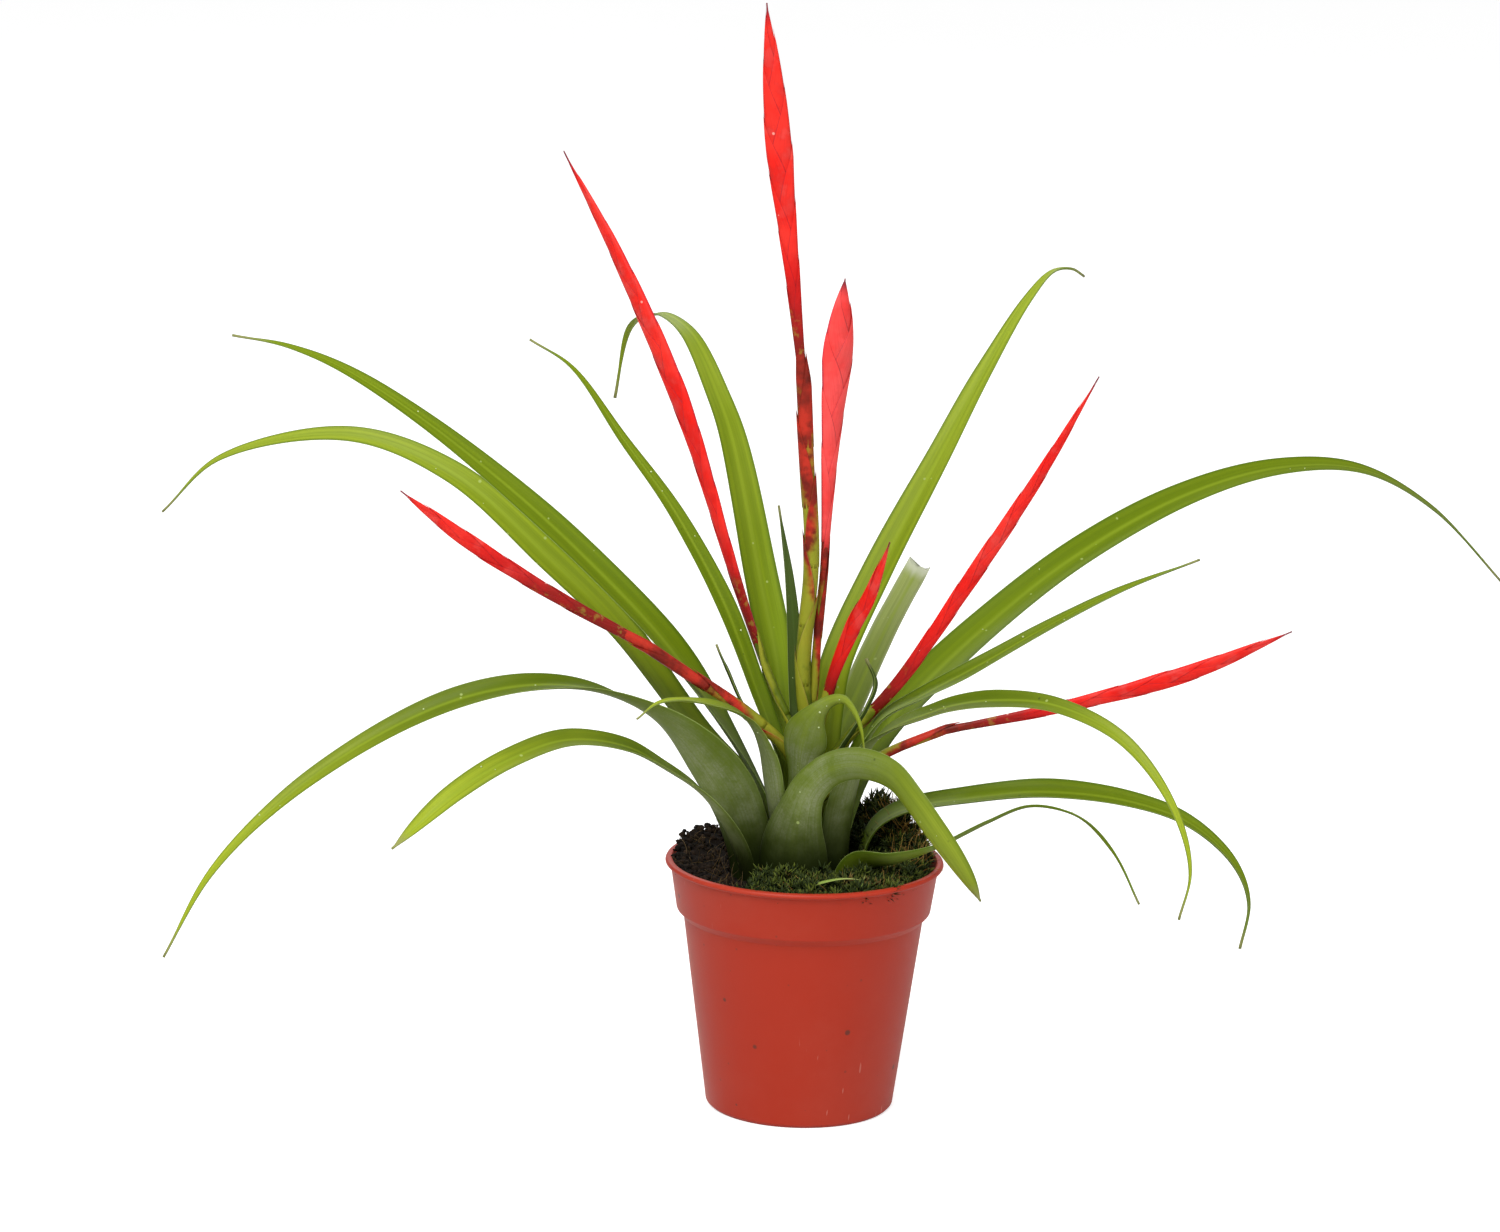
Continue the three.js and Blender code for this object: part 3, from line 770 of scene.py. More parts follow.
@dataclass(frozen=True)
class PotFinish(Finish):
    """Moulded terracotta-red plastic with dirt specks and faint pale scratches."""

    roughness: float = 0.42
    specular: float = 0.22
    depth: float = 0.06
    strength: float = 0.25
    body: Colour = (0.42, 0.028, 0.009, 1)
    dusty: Tint = Tint((0.45, 0.058, 0.032, 1), 0.4, 0.8, 0.4)
    scratch: Tint = Tint((0.75, 0.42, 0.34, 1), 0.74, 0.8, 0.5)
    scratch_cloud: Band = Band(0.5, 0.65)
    dirt: Specks = Specks(0.005, 0.05, (0.05, 0.03, 0.02, 1), 0.7)
    fine_dirt: Specks = Specks(0.0021, 0.04, (0.05, 0.03, 0.02, 1), 0.4)
    sheen: float = 0.12
    sheen_roughness: float = 0.35
    sheen_tint: Colour = (1.0, 0.62, 0.52, 1)
    cloud: Grain = Grain(24.0, 5.0, 0.6)
    grain: Grain = Grain(1600.0, 2.0)
    lines: Grain = Grain(1.0, 1.0)
    lines_turn: tuple[float, float, float] = (0.5, 0.3, 0.9)
    lines_scale: tuple[float, float, float] = (900, 900, 30)
    gloss_drift: float = 0.2
    gloss_grain: float = 0.08

    def skin(self, graph: Graph) -> dict[str, Any]:
        """Returns what goes into the shader's sockets."""
        cloud, grain = self.cloud.on(graph), self.grain.on(graph)
        mapping = {"Vector": graph.place(), "Rotation": self.lines_turn, "Scale": self.lines_scale}
        scuffs = self.lines.on(graph, graph.value("Mapping", mapping))
        body = graph.coats(
            self.body,
            self.dusty.on(cloud),
            self.scratch.on(scuffs, self.scratch_cloud.of(cloud)),
            self.dirt.on(graph),
            self.fine_dirt.on(graph),
        )
        rough = grain.swing(cloud.swing(self.roughness, self.gloss_drift), self.gloss_grain)
        sheen = {"Sheen Weight": self.sheen, "Sheen Roughness": self.sheen_roughness}
        return self.inputs(graph, body, rough, grain) | sheen | {"Sheen Tint": self.sheen_tint}


@dataclass(frozen=True)
class EarthFinish(Finish):
    """Dark peat, whose shade changes from crumb to crumb."""

    roughness: float = 0.9
    specular: float = 0.2
    depth: float = 0.4
    strength: float = 0.7
    dark: Colour = (0.006, 0.004, 0.003, 1)
    light: Tint = Tint((0.034, 0.019, 0.010, 1), 0.0, 0.9)
    shade_drift: float = 0.8
    start: float = 0.55
    patch: Grain = Grain(260.0, 5.0, 0.65)
    grain: Grain = Grain(1300.0, rough=0.6)
    gloss_drift: float = 0.2

    def skin(self, graph: Graph) -> dict[str, Any]:
        """Returns what goes into the shader's sockets."""
        grain = self.grain.on(graph)
        tone = graph.marks("shade")[0] * self.shade_drift + self.patch.on(graph) - self.start
        body = graph.coats(self.dark, self.light.on(tone))
        return self.inputs(graph, body, grain.swing(self.roughness, self.gloss_drift), grain)


@dataclass(frozen=True)
class TuftFinish(Finish):
    """Moss, straw and other fine growth, from a dark foot to a lighter end."""

    roughness: float = 0.6
    specular: float = 0.3
    depth: float = 0.2
    strength: float = 0.4
    foot: Colour = (0.006, 0.009, 0.002, 1)
    body: Tint = Tint((0.022, 0.038, 0.004, 1), 0.0, 0.5)
    end: Tint = Tint((0.15, 0.19, 0.018, 1), 0.45, 1.0)
    end_shade: Band = Band(0.1, 1.0)
    odd: Tint = Tint((0.20, 0.12, 0.035, 1), 0.42, 0.62, 0.8)
    patch: Grain = Grain(120.0, rough=0.6)
    gloss_drift: float = 0.2

    def skin(self, graph: Graph) -> dict[str, Any]:
        """Returns what goes into the shader's sockets."""
        along, shade = graph.marks("along", "shade")
        patch = self.patch.on(graph)
        body = graph.coats(
            self.foot,
            self.body.on(along),
            self.end.on(along, self.end_shade.of(shade)),
            self.odd.on(patch * shade),
        )
        return self.inputs(graph, body, patch.swing(self.roughness, self.gloss_drift), patch)


@dataclass(frozen=True)
class Lamp:
    """One square soft light: its place, its side and the height of what it faces, in metres."""

    name: str
    place: tuple[float, float, float]
    watts: float
    side: float = 1.2
    aim: float = 0.15

    def hang(self) -> None:
        """Hangs the light so that it faces the plant."""
        lamp = bpy.data.lights.new(self.name, "AREA")
        lamp.size, lamp.energy = self.side, self.watts
        away = Vector(self.place) - Vector((0, 0, self.aim))
        turned = away.to_track_quat("Z", "Y").to_matrix().to_4x4()
        add_object(self.name, lamp).matrix_world = Matrix.Translation(self.place) @ turned


@dataclass
class Studio:
    """The camera, the pale floor and the soft lights."""

    far: float = 2.0167
    high: float = 0.6258
    swing: float = -0.0096
    dip: float = 0.2261
    bank: float = 0.0220
    lens: float = 155.006
    sensor: float = 36.0
    floor: float = 40.0
    paper: Colour = (0.75, 0.75, 0.75, 1)
    paper_shade: Colour = (0.72, 0.72, 0.72, 1)
    paper_gloss: tuple[float, float] = (0.9, 0.1)
    glow: float = 0.68
    daylight: float = 0.36
    lamps: tuple[Lamp, ...] = (
        Lamp("key", (-0.4, -1.0, 1.45), 30.0),
        Lamp("fill", (1.3, -0.9, 0.9), 6.0),
        Lamp("back", (-0.3, 1.5, 1.2), 7.0),
    )

    def build(self) -> None:
        """Makes the camera, the floor, the lights and the surroundings."""
        self._camera()
        self._floor()
        for lamp in self.lamps:
            lamp.hang()
        world = bpy.data.worlds.new("surroundings")
        world.use_nodes = True
        shade = world.node_tree.nodes["Background"]
        shade.inputs["Color"].default_value = (1.0, 1.0, 1.0, 1)
        shade.inputs["Strength"].default_value = self.daylight
        bpy.context.scene.world = world
        bpy.context.scene.view_settings.view_transform = "Standard"

    def _camera(self) -> None:
        """Points the camera as the photograph was taken."""
        level = Vector((math.cos(self.swing), -math.sin(self.swing), 0))
        forward = Vector((math.sin(self.swing), math.cos(self.swing), 0))
        ahead = forward * math.cos(self.dip) - Vector((0, 0, math.sin(self.dip)))
        rise = level.cross(ahead)
        right = math.cos(self.bank) * level + math.sin(self.bank) * rise
        up = math.cos(self.bank) * rise - math.sin(self.bank) * level
        lens = bpy.data.cameras.new("camera")
        lens.lens, lens.sensor_width = self.lens, self.sensor
        camera = add_object("camera", lens)
        turned = Matrix((right, up, -ahead)).transposed().to_4x4()
        camera.matrix_world = Matrix.Translation((0, -self.far, self.high)) @ turned
        bpy.context.scene.camera = camera

    def _floor(self) -> None:
        """Lays the plain pale floor."""
        sheet = bmesh.new()
        bmesh.ops.create_grid(sheet, x_segments=2, y_segments=2, size=self.floor)
        data = to_mesh(sheet, "floor")
        tones = {"first": self.paper, "second": self.paper_shade, "glow": self.glow}
        finish = MottledFinish("floor paper", *self.paper_gloss, **tones)
        data.materials.append(finish.make())
        add_object("floor", data)


@dataclass
class Pot:
    """The thin moulded nursery pot."""

    height: float = 82.0
    lip: float = 45.0
    lip_height: float = 2.0
    band_foot: float = 64.5
    band: float = 41.1
    flare: float = 2.2
    wall_top: float = 38.8
    base: float = 30.4
    wall: float = 1.0
    floor: float = 1.6
    corner: float = 1.2
    drain: float = 3.2
    drain_circle: float = 19.0
    drains: int = 4
    drain_steps: int = 32
    steps: int = 128
    sharp: float = 14.0
    edge: float = 0.35
    edge_steps: int = 3

    def profile(self) -> Line:
        """Returns the wall's closed outline from the axis, out and up, over the lip and back down."""
        under_lip = self.height - self.lip_height
        neck = self.band + self.flare
        return [
            (0, 0),
            (self.base - self.corner, 0),
            (self.base, self.corner),
            (self.wall_top, self.band_foot - self.corner),
            (self.band, self.band_foot + self.corner),
            (neck, under_lip),
            (self.lip, under_lip + self.lip_height / 3),
            (self.lip, self.height - self.lip_height / 3),
            (self.lip - self.wall / 2, self.height),
            (neck - self.wall / 2, self.height),
            (self.band - self.wall, self.band_foot + 2 * self.corner),
            (self.wall_top - self.wall, self.band_foot),
            (self.base - self.wall, self.floor),
            (0, self.floor),
        ]

    def build(self, finish: bpy.types.Material) -> None:
        """Spins the wall, softens its edges and cuts the drain holes."""
        shape, part = Shape(), spun(self.profile(), self.steps)
        sharp = [edge for edge in part.edges if edge.calc_face_angle(0) > math.radians(self.sharp)]
        soften = {"offset": self.edge * MM, "segments": self.edge_steps, "profile": 0.5, "affect": "EDGES"}
        bmesh.ops.bevel(part, geom=sharp, material=-1, clamp_overlap=True, **soften)
        shape.take(part)
        made = shape.piece("pot_shell", finish, "pot", "pot")
        self._cut_drains(made)
        made.data.shade_smooth()

    def _cut_drains(self, shell: bpy.types.Object) -> None:
        """Cuts the round holes through the pot's floor."""
        cutter, radius = bmesh.new(), self.drain * MM
        size = {"radius1": radius, "radius2": radius, "depth": 3 * self.floor * MM}
        for index in range(self.drains):
            turn = 360 * (index + 0.5) / self.drains
            place = Matrix.Translation(stage_point(turn, self.drain_circle, self.floor / 2))
            bmesh.ops.create_cone(cutter, cap_ends=True, segments=self.drain_steps, matrix=place, **size)
        tool = add_object("cutter", to_mesh(cutter, "cutter"))
        cut = shell.modifiers.new("drains", "BOOLEAN")
        cut.object, cut.operation, cut.solver = tool, "DIFFERENCE", "EXACT"
        view = bpy.context.evaluated_depsgraph_get()
        shell.data = bpy.data.meshes.new_from_object(shell.evaluated_get(view))
        shell.modifiers.clear()
        bpy.data.objects.remove(tool)


@dataclass(frozen=True)
class Strand:
    """A kind of thin bent strand: its radius, how it stands (0 flat, 2 upright) and its lengths."""

    thick: float
    rise: float
    lengths: tuple[float, float] = (3, 9)
    least_rise: float = 0.3
    least_shade: float = 0.2
    bends: int = 4
    bend: float = 0.45
    taper: float = 0.7
    around: int = 3
    rows: int = 6
    foot_tone: float = 0.4
    weld: float = 0.001

    def grow(self, shape: Shape, chance: random.Random, foot: Vector) -> None:
        """Adds one strand.

        Args:
            shape: where it goes.
            chance: the seeded source of its length and its turns.
            foot: where it starts, in metres.
        """
        step = chance.uniform(*self.lengths) * MM / self.bends
        flat = chance.uniform(-1, 1), chance.uniform(-1, 1)
        heading = Vector((*flat, chance.uniform(self.least_rise, 1) * self.rise)).normalized()
        points = [foot]
        for _ in range(self.bends):
            heading = (heading + self.bend * stray(chance)).normalized()
            points.append(points[-1] + heading * step)
        walk = stations(Path(points), 0, self.rows)
        shade = chance.uniform(self.least_shade, 1)

        def place(angle: float, along: float) -> tuple[Vector, Marks]:
            """Places a point of the strand's skin."""
            radius = self.thick * (1 - self.taper * along)
            point = walk[round(along * self.rows)].off(radius * math.sin(angle), radius * math.cos(angle))
            return point, {"along": mix(self.foot_tone, 1, along), "shade": shade}

        shape.sleeve(self.around, self.rows, place, self.weld)


@dataclass
class Bed:
    """The peat, its crumbs and the dry strands on it."""

    pot: Pot
    top: float = 77.0
    heap: float = 8.0
    heap_turn: float = 152.0
    heap_span: float = 38.0
    hole: float = 25.0
    hole_floor: float = 62.0
    ledge: float = 3.0
    gap: float = 0.35
    fill: float = 75.6
    fill_depth: float = 3.0
    fill_bumps: tuple[float, float] = (1.5, 300)
    fill_steps: int = 48
    bumps: tuple[float, float] = (1.4, 260)
    grit: tuple[float, float] = (0.8, 700)
    body_shade: float = 0.35
    loose_shade: float = 0.3
    crumbs: int = 1000
    inner_crumbs: int = 420
    inner_from: float = 6.0
    rim_crumbs: int = 170
    rim_turns: tuple[float, float] = (100, 200)
    rim_band: tuple[float, float] = (3, 1.2)
    crumb_size: tuple[float, float] = (0.4, 1.4)
    crumb_breadth: tuple[float, float] = (0.5, 1)
    crumb_height: tuple[float, float] = (0.4, 0.9)
    crumb_shade: tuple[float, float] = (0.1, 1.0)
    strands: int = 70
    strand: Strand = Strand(0.15, 0.8)
    strand_turns: tuple[float, float] = (190, 40)
    strand_lift: float = 0.4
    steps: int = 160
    rings: int = 9
    seed: int = 11
    loose_seed: int = 12
    strand_seed: int = 23

    def ground(self, turn: float, out: float) -> float:
        """Returns the height of the soil in mm, which is heaped up at one side."""
        share = max(0.0, out - self.hole) / (self.pot.band - self.hole)
        return self.top + self.heap * share * bell(turn % 360, self.heap_turn, self.heap_span)

    def build(self, earth: bpy.types.Material, dry: bpy.types.Material) -> None:
        """Builds the soil body, its crumbs, the loose peat between the leaves and the dry strands."""
        self._body(earth)
        self._loose(earth)
        self._strands(dry)

    def _wall(self, up: float) -> float:
        """Returns the pot's inner radius at a height."""
        pot = self.pot
        if up <= pot.band_foot:
            share = (up - pot.floor) / (pot.band_foot - pot.floor)
            return mix(pot.base - pot.wall, pot.wall_top - pot.wall, share)
        ledge = pot.band_foot + 2 * pot.corner
        neck = pot.band + pot.flare - pot.wall / 2
        return mix(pot.band - pot.wall, neck, min(1.0, (up - ledge) / (pot.height - ledge)))

    def _body(self, earth: bpy.types.Material) -> None:
        """Spins the soil, heaps and roughens its top and strews crumbs on it."""
        shape = Shape("shade")
        floor, ledge = self.pot.floor + self.gap, self.pot.band_foot
        rim = self._wall(self.top) - self.gap
        outline = [(0, floor), (self._wall(floor) - self.gap, floor), (self._wall(ledge) - self.gap, ledge)]
        outline += [(self.pot.band - self.pot.wall - self.gap, ledge + self.ledge), (rim, self.top)]
        outline += [(mix(rim, self.hole, step / self.rings), self.top) for step in range(1, self.rings + 1)]
        outline += [(self.hole, self.hole_floor), (0, self.hole_floor)]
        part = spun(outline, self.steps)
        for vertex in part.verts:
            if vertex.co.z > (self.top - 0.1) * MM:
                turn = math.degrees(math.atan2(vertex.co.y, vertex.co.x))
                up = self.ground(turn, math.hypot(vertex.co.x, vertex.co.y) / MM)
                up += self._lumps(vertex.co, self.bumps) + self._lumps(vertex.co, self.grit)
                vertex.co.z = up * MM
        shape.take(part, shade=self.body_shade)
        chance, band = random.Random(self.seed), (rim - self.rim_band[0], rim + self.rim_band[1])
        self._strew(shape, chance, self.crumbs, (0, 360), (self.hole + 1, rim - 0.5))
        self._strew(shape, chance, self.rim_crumbs, self.rim_turns, band)
        shape.piece("peat", earth, "soil", "soil")

    @staticmethod
    def _lumps(place: Vector, lumps: tuple[float, float]) -> float:
        """Returns the height in mm at a place of lumps with a given height and fineness."""
        return lumps[0] * noise.noise(place * lumps[1])

    def _loose(self, earth: bpy.types.Material) -> None:
        """Fills the hole round the plant's feet with loose crumbs on a rough sheet."""
        shape, part = Shape("shade"), bmesh.new()
        radius = (self.hole + 0.5) * MM
        bmesh.ops.create_circle(part, cap_ends=True, segments=self.fill_steps, radius=radius)
        bmesh.ops.poke(part, faces=part.faces[:])
        bmesh.ops.subdivide_edges(part, edges=part.edges[:], cuts=3, use_grid_fill=True)
        grown = bmesh.ops.extrude_face_region(part, geom=part.faces[:])
        raised = [item for item in grown["geom"] if isinstance(item, bmesh.types.BMVert)]
        for vertex in part.verts:
            vertex.co.z = (self.fill - self.fill_depth) * MM
        for vertex in raised:
            vertex.co.z = (self.fill + self._lumps(vertex.co, self.fill_bumps)) * MM
        bmesh.ops.recalc_face_normals(part, faces=part.faces)
        shape.take(part, shade=self.loose_shade)
        outs = (self.inner_from, self.hole + 1)
        self._strew(shape, random.Random(self.loose_seed), self.inner_crumbs, (0, 360), outs)
        shape.piece("loose_peat", earth, "soil")

    def _strew(
        self,
        shape: Shape,
        chance: random.Random,
        count: int,
        turns: tuple[float, float],
        outs: tuple[float, float],
    ) -> None:
        """Strews crumbs over a part of the soil.

        Args:
            shape: where they go.
            chance: the seeded source of their places.
            count: how many there are.
            turns: the turns between which they lie, in degrees.
            outs: the distances from the axis between which they lie, in mm.
        """
        template = ball(1)
        for _ in range(count):
            turn = chance.uniform(*turns)
            out = math.sqrt(chance.uniform(outs[0] ** 2, outs[1] ** 2))
            size = chance.uniform(*self.crumb_size)
            spin = Matrix.Rotation(chance.uniform(0, math.tau), 4, stray(chance))
            flat = size * chance.uniform(*self.crumb_breadth), size * chance.uniform(*self.crumb_height)
            shrink = Matrix.Diagonal((*[scale * MM for scale in (size, *flat)], 1))
            up = (self.ground(turn, out) if out > self.hole else self.fill) + size / 4
            place = Matrix.Translation(stage_point(turn, out, up)) @ spin @ shrink
            shape.copy(template, place, shade=chance.uniform(*self.crumb_shade))
        bpy.data.meshes.remove(template)

    def _strands(self, dry: bpy.types.Material) -> None:
        """Lays thin dry moss strands over the bare left of the soil."""
        shape, chance = Shape("along", "shade"), random.Random(self.strand_seed)
        for _ in range(self.strands):
            turn = chance.gauss(*self.strand_turns)
            out = chance.uniform(self.hole + 1, self.pot.band - 2)
            foot = stage_point(turn, out, self.ground(turn, out) + self.strand_lift)
            self.strand.grow(shape, chance, foot)
        shape.piece("dry_strands", dry, "moss")


@dataclass(frozen=True)
class Blade:
    """A bent flat blade: its points by turn, distance from the axis and height, and half its width."""

    points: Line
    wide: float
    flat: float = 0.25
    foot: float = 0.25
    least: float = 0.05
    shade: float = 0.6
    around: int = 8
    rows: int = 14
    weld: float = 0.001

    def lay(self, shape: Shape) -> None:
        """Adds the blade to a shape."""
        walk = stations(Path([stage_point(*point) for point in self.points]), 0, self.rows)

        def place(angle: float, along: float) -> tuple[Vector, Marks]:
            """Places a point of the blade's skin."""
            breadth = self.wide * math.sin(math.pi * mix(self.foot, 1, along)) + self.least
            spot = walk[round(along * self.rows)]
            point = spot.off(self.flat * breadth * math.sin(angle), breadth * math.cos(angle))
            return point, {"along": along, "shade": self.shade}

        shape.sleeve(self.around, self.rows, place, self.weld)


@dataclass
class Moss:
    """The moss cushion with its shoots, seed stalks, grass blade and straw."""

    bed: Bed
    inside: float = 26.0
    outside: float = 39.3
    start: float = -122.0
    end: float = 78.0
    thick: float = 2.2
    ragged: float = 0.9
    ragged_scale: tuple[float, float] = (0.5, 10)
    skin_tone: float = 0.3
    rim_share: float = 0.2
    mound: float = 15.0
    mound_turn: float = 34.0
    mound_span: float = 34.0
    around: int = 28
    rows: int = 160
    shoots: int = 1350
    shoot_span: tuple[float, float] = (-0.45, 1.08)
    edge_shoots: int = 160
    edge_turns: tuple[float, float] = (-105, -20)
    edge_span: tuple[float, float] = (1.0, 1.16)
    shoot_sizes: tuple[float, float] = (0.7, 1.35)
    shoot_lean: float = 0.7
    heap_growth: float = 0.4
    clump_growth: float = 0.8
    clump_scale: tuple[float, float] = (0.12, 3)
    shoot_lift: tuple[float, float] = (0.2, -1.6)
    leaflets: int = 11
    leaflet_turn: float = 2.4
    leaflet_lengths: tuple[float, float] = (2.4, 1.5)
    leaflet_tilts: tuple[float, float] = (1.25, 0.35)
    leaflet_heights: tuple[float, float] = (0.2, 3.2)
    leaflet_radii: tuple[float, float] = (0.42, 0.03)
    leaflet_flat: float = 0.35
    stem_radii: tuple[float, float] = (0.25, 0.05)
    stem_length: float = 4.0
    stem_middle: float = 1.4
    shoot_height: float = 4.5
    stalks: int = 240
    stalk: Strand = Strand(0.19, 2.0, (5, 12))
    stalk_turns: tuple[float, float] = (18, 20)
    stalk_span: tuple[float, float] = (0.1, 0.98)
    twigs: int = 60
    twig: Strand = Strand(0.13, 0.6)
    twig_span: tuple[float, float] = (-0.1, 1)
    strand_lifts: tuple[float, float] = (-0.5, 0.6)
    seed: int = 5
    stalk_seed: int = 31
    blades: tuple[Blade, ...] = (
        Blade([(-96, 33, 79.6), (-84, 34, 82.6), (-70, 35, 84.4), (-60, 37, 84)], 1.3),
        Blade([(-66, 40, 79.5), (-63, 40, 82.5), (-60, 39, 86.5)], 0.5),
    )

    def height(self, turn: float, share: float) -> float:
        """Returns the cushion's top over its foot at a turn and a share of its breadth, in mm."""
        heap = bell(turn, self.mound_turn, self.mound_span)
        return self.thick + self.mound * heap * math.cos(2 * (share - 0.5)) ** 2

    def foot(self, turn: float, share: float, lift: float) -> Vector:
        """Returns a point over the cushion's foot, higher by a lift in mm."""
        out = mix(self.inside, self.outside, share)
        return stage_point(turn, out, self.bed.ground(turn, out) + self.bed.gap + lift)

    def point(self, turn: float, share: float, lift: float) -> Vector:
        """Returns a point over the cushion's top, higher by a lift in mm."""
        return self.foot(turn, share, self.height(turn, min(1.0, max(0.0, share))) + lift)

    def build(self, green: bpy.types.Material, brown: bpy.types.Material, straw: bpy.types.Material) -> None:
        """Builds the cushion and all that grows on it."""
        shape = Shape("along", "shade")
        shape.sleeve(self.around, self.rows, self._skin)
        self._shoots(shape)
        shape.piece("moss_cushion", green, "moss", "moss")
        self._stalks(brown)
        shape = Shape("along", "shade")
        for blade in self.blades:
            blade.lay(shape)
        shape.piece("grass_and_straw", straw, "moss")

    def _skin(self, angle: float, along: float) -> tuple[Vector, Marks]:
        """Places a point of the cushion's skin."""
        turn, half = mix(self.start, self.end, along), angle / math.pi
        if half > 1:
            return self.foot(turn, 2 - half, 0.0), {"along": 0.0}
        where = Vector((turn * self.ragged_scale[0], half * self.ragged_scale[1], 0))
        edge = math.sqrt(max(0.0, 1 - (2 * half - 1) ** 2))
        lift = (self.height(turn, half) + self.ragged * noise.noise(where)) * min(1, self.rim_share + edge)
        return self.foot(turn, half, lift), {"along": self.skin_tone}

    def _shoots(self, shape: Shape) -> None:
        """Strews leaning copies of one shoot over the cushion and its front edge."""
        template, chance = self._shoot(), random.Random(self.seed)
        for index in range(self.shoots + self.edge_shoots):
            turn, share = chance.uniform(self.start, self.end), chance.uniform(*self.shoot_span)
            if index >= self.shoots:
                turn, share = chance.uniform(*self.edge_turns), chance.uniform(*self.edge_span)
            heap = self.height(turn, 0.5) / (self.thick + self.mound)
            clump = noise.noise(Vector((turn * self.clump_scale[0], share * self.clump_scale[1], 4)))
            growth = 1 + self.heap_growth * heap + self.clump_growth * clump
            size = chance.uniform(*self.shoot_sizes) * growth
            lean = Matrix.Identity(4)
            for axis in "XY":
                lean = lean @ Matrix.Rotation(chance.uniform(-self.shoot_lean, self.shoot_lean), 4, axis)
            spin = Matrix.Rotation(chance.uniform(0, math.tau), 4, "Z")
            where = Matrix.Translation(self.point(turn, share, mix(*self.shoot_lift, smooth(share))))
            place = where @ lean @ spin @ Matrix.Diagonal((size, size, size, 1))
            shape.copy(template, place, shade=chance.uniform(0, 1))
        bpy.data.meshes.remove(template)

    def _shoot(self) -> bpy.types.Mesh:
        """Returns one small star of leaflets round a stem."""
        part = bmesh.new()
        layer = part.verts.layers.float.new("along")
        part.verts.layers.float.new("shade")
        for index in range(self.leaflets):
            rise = index / self.leaflets
            length = mix(*self.leaflet_lengths, rise)
            lift = Matrix.Translation((0, 0, mix(*self.leaflet_heights, rise) * MM))
            turn = Matrix.Rotation(index * self.leaflet_turn, 4, "Z")
            tilt = Matrix.Rotation(mix(*self.leaflet_tilts, rise), 4, "Y")
            reach = Matrix.Translation((0, 0, length / 2 * MM))
            flat = Matrix.Diagonal((self.leaflet_flat, 1, 1, 1))
            self._cone(part, self.leaflet_radii, length, lift @ turn @ tilt @ reach @ flat)
        stem = Matrix.Translation((0, 0, self.stem_middle * MM))
        self._cone(part, self.stem_radii, self.stem_length, stem)
        for vertex in part.verts:
            vertex[layer] = min(1, max(0, vertex.co.z / (self.shoot_height * MM)))
        return to_mesh(part, "moss shoot")

    @staticmethod
    def _cone(part: bmesh.types.BMesh, radii: tuple[float, float], length: float, place: Matrix) -> None:
        """Adds a three-sided spike with the given two radii and length in mm."""
        size = {"radius1": radii[0] * MM, "radius2": radii[1] * MM, "depth": length * MM}
        bmesh.ops.create_cone(part, cap_ends=True, segments=3, matrix=place, **size)

    def _stalks(self, brown: bpy.types.Material) -> None:
        """Stands thin seed stalks on the heap at the right rear and lays dry twigs over the moss."""
        shape, chance = Shape("along", "shade"), random.Random(self.stalk_seed)
        for _ in range(self.stalks):
            turn, share = chance.gauss(*self.stalk_turns), chance.uniform(*self.stalk_span)
            foot = self.point(turn, share, self.strand_lifts[0])
            self.stalk.grow(shape, chance, foot)
        for _ in range(self.twigs):
            turn, share = chance.uniform(self.start, self.end), chance.uniform(*self.twig_span)
            foot = self.point(turn, share, self.strand_lifts[1])
            self.twig.grow(shape, chance, foot)
        shape.piece("moss_stalks", brown, "moss")


class Hue(Enum):
    """The leaf skins."""

    FRESH = "fresh"
    SUNLIT = "sunlit"
    GREEN = "green"
    DEEP = "deep"
    GREY = "grey"
    PALE = "pale"


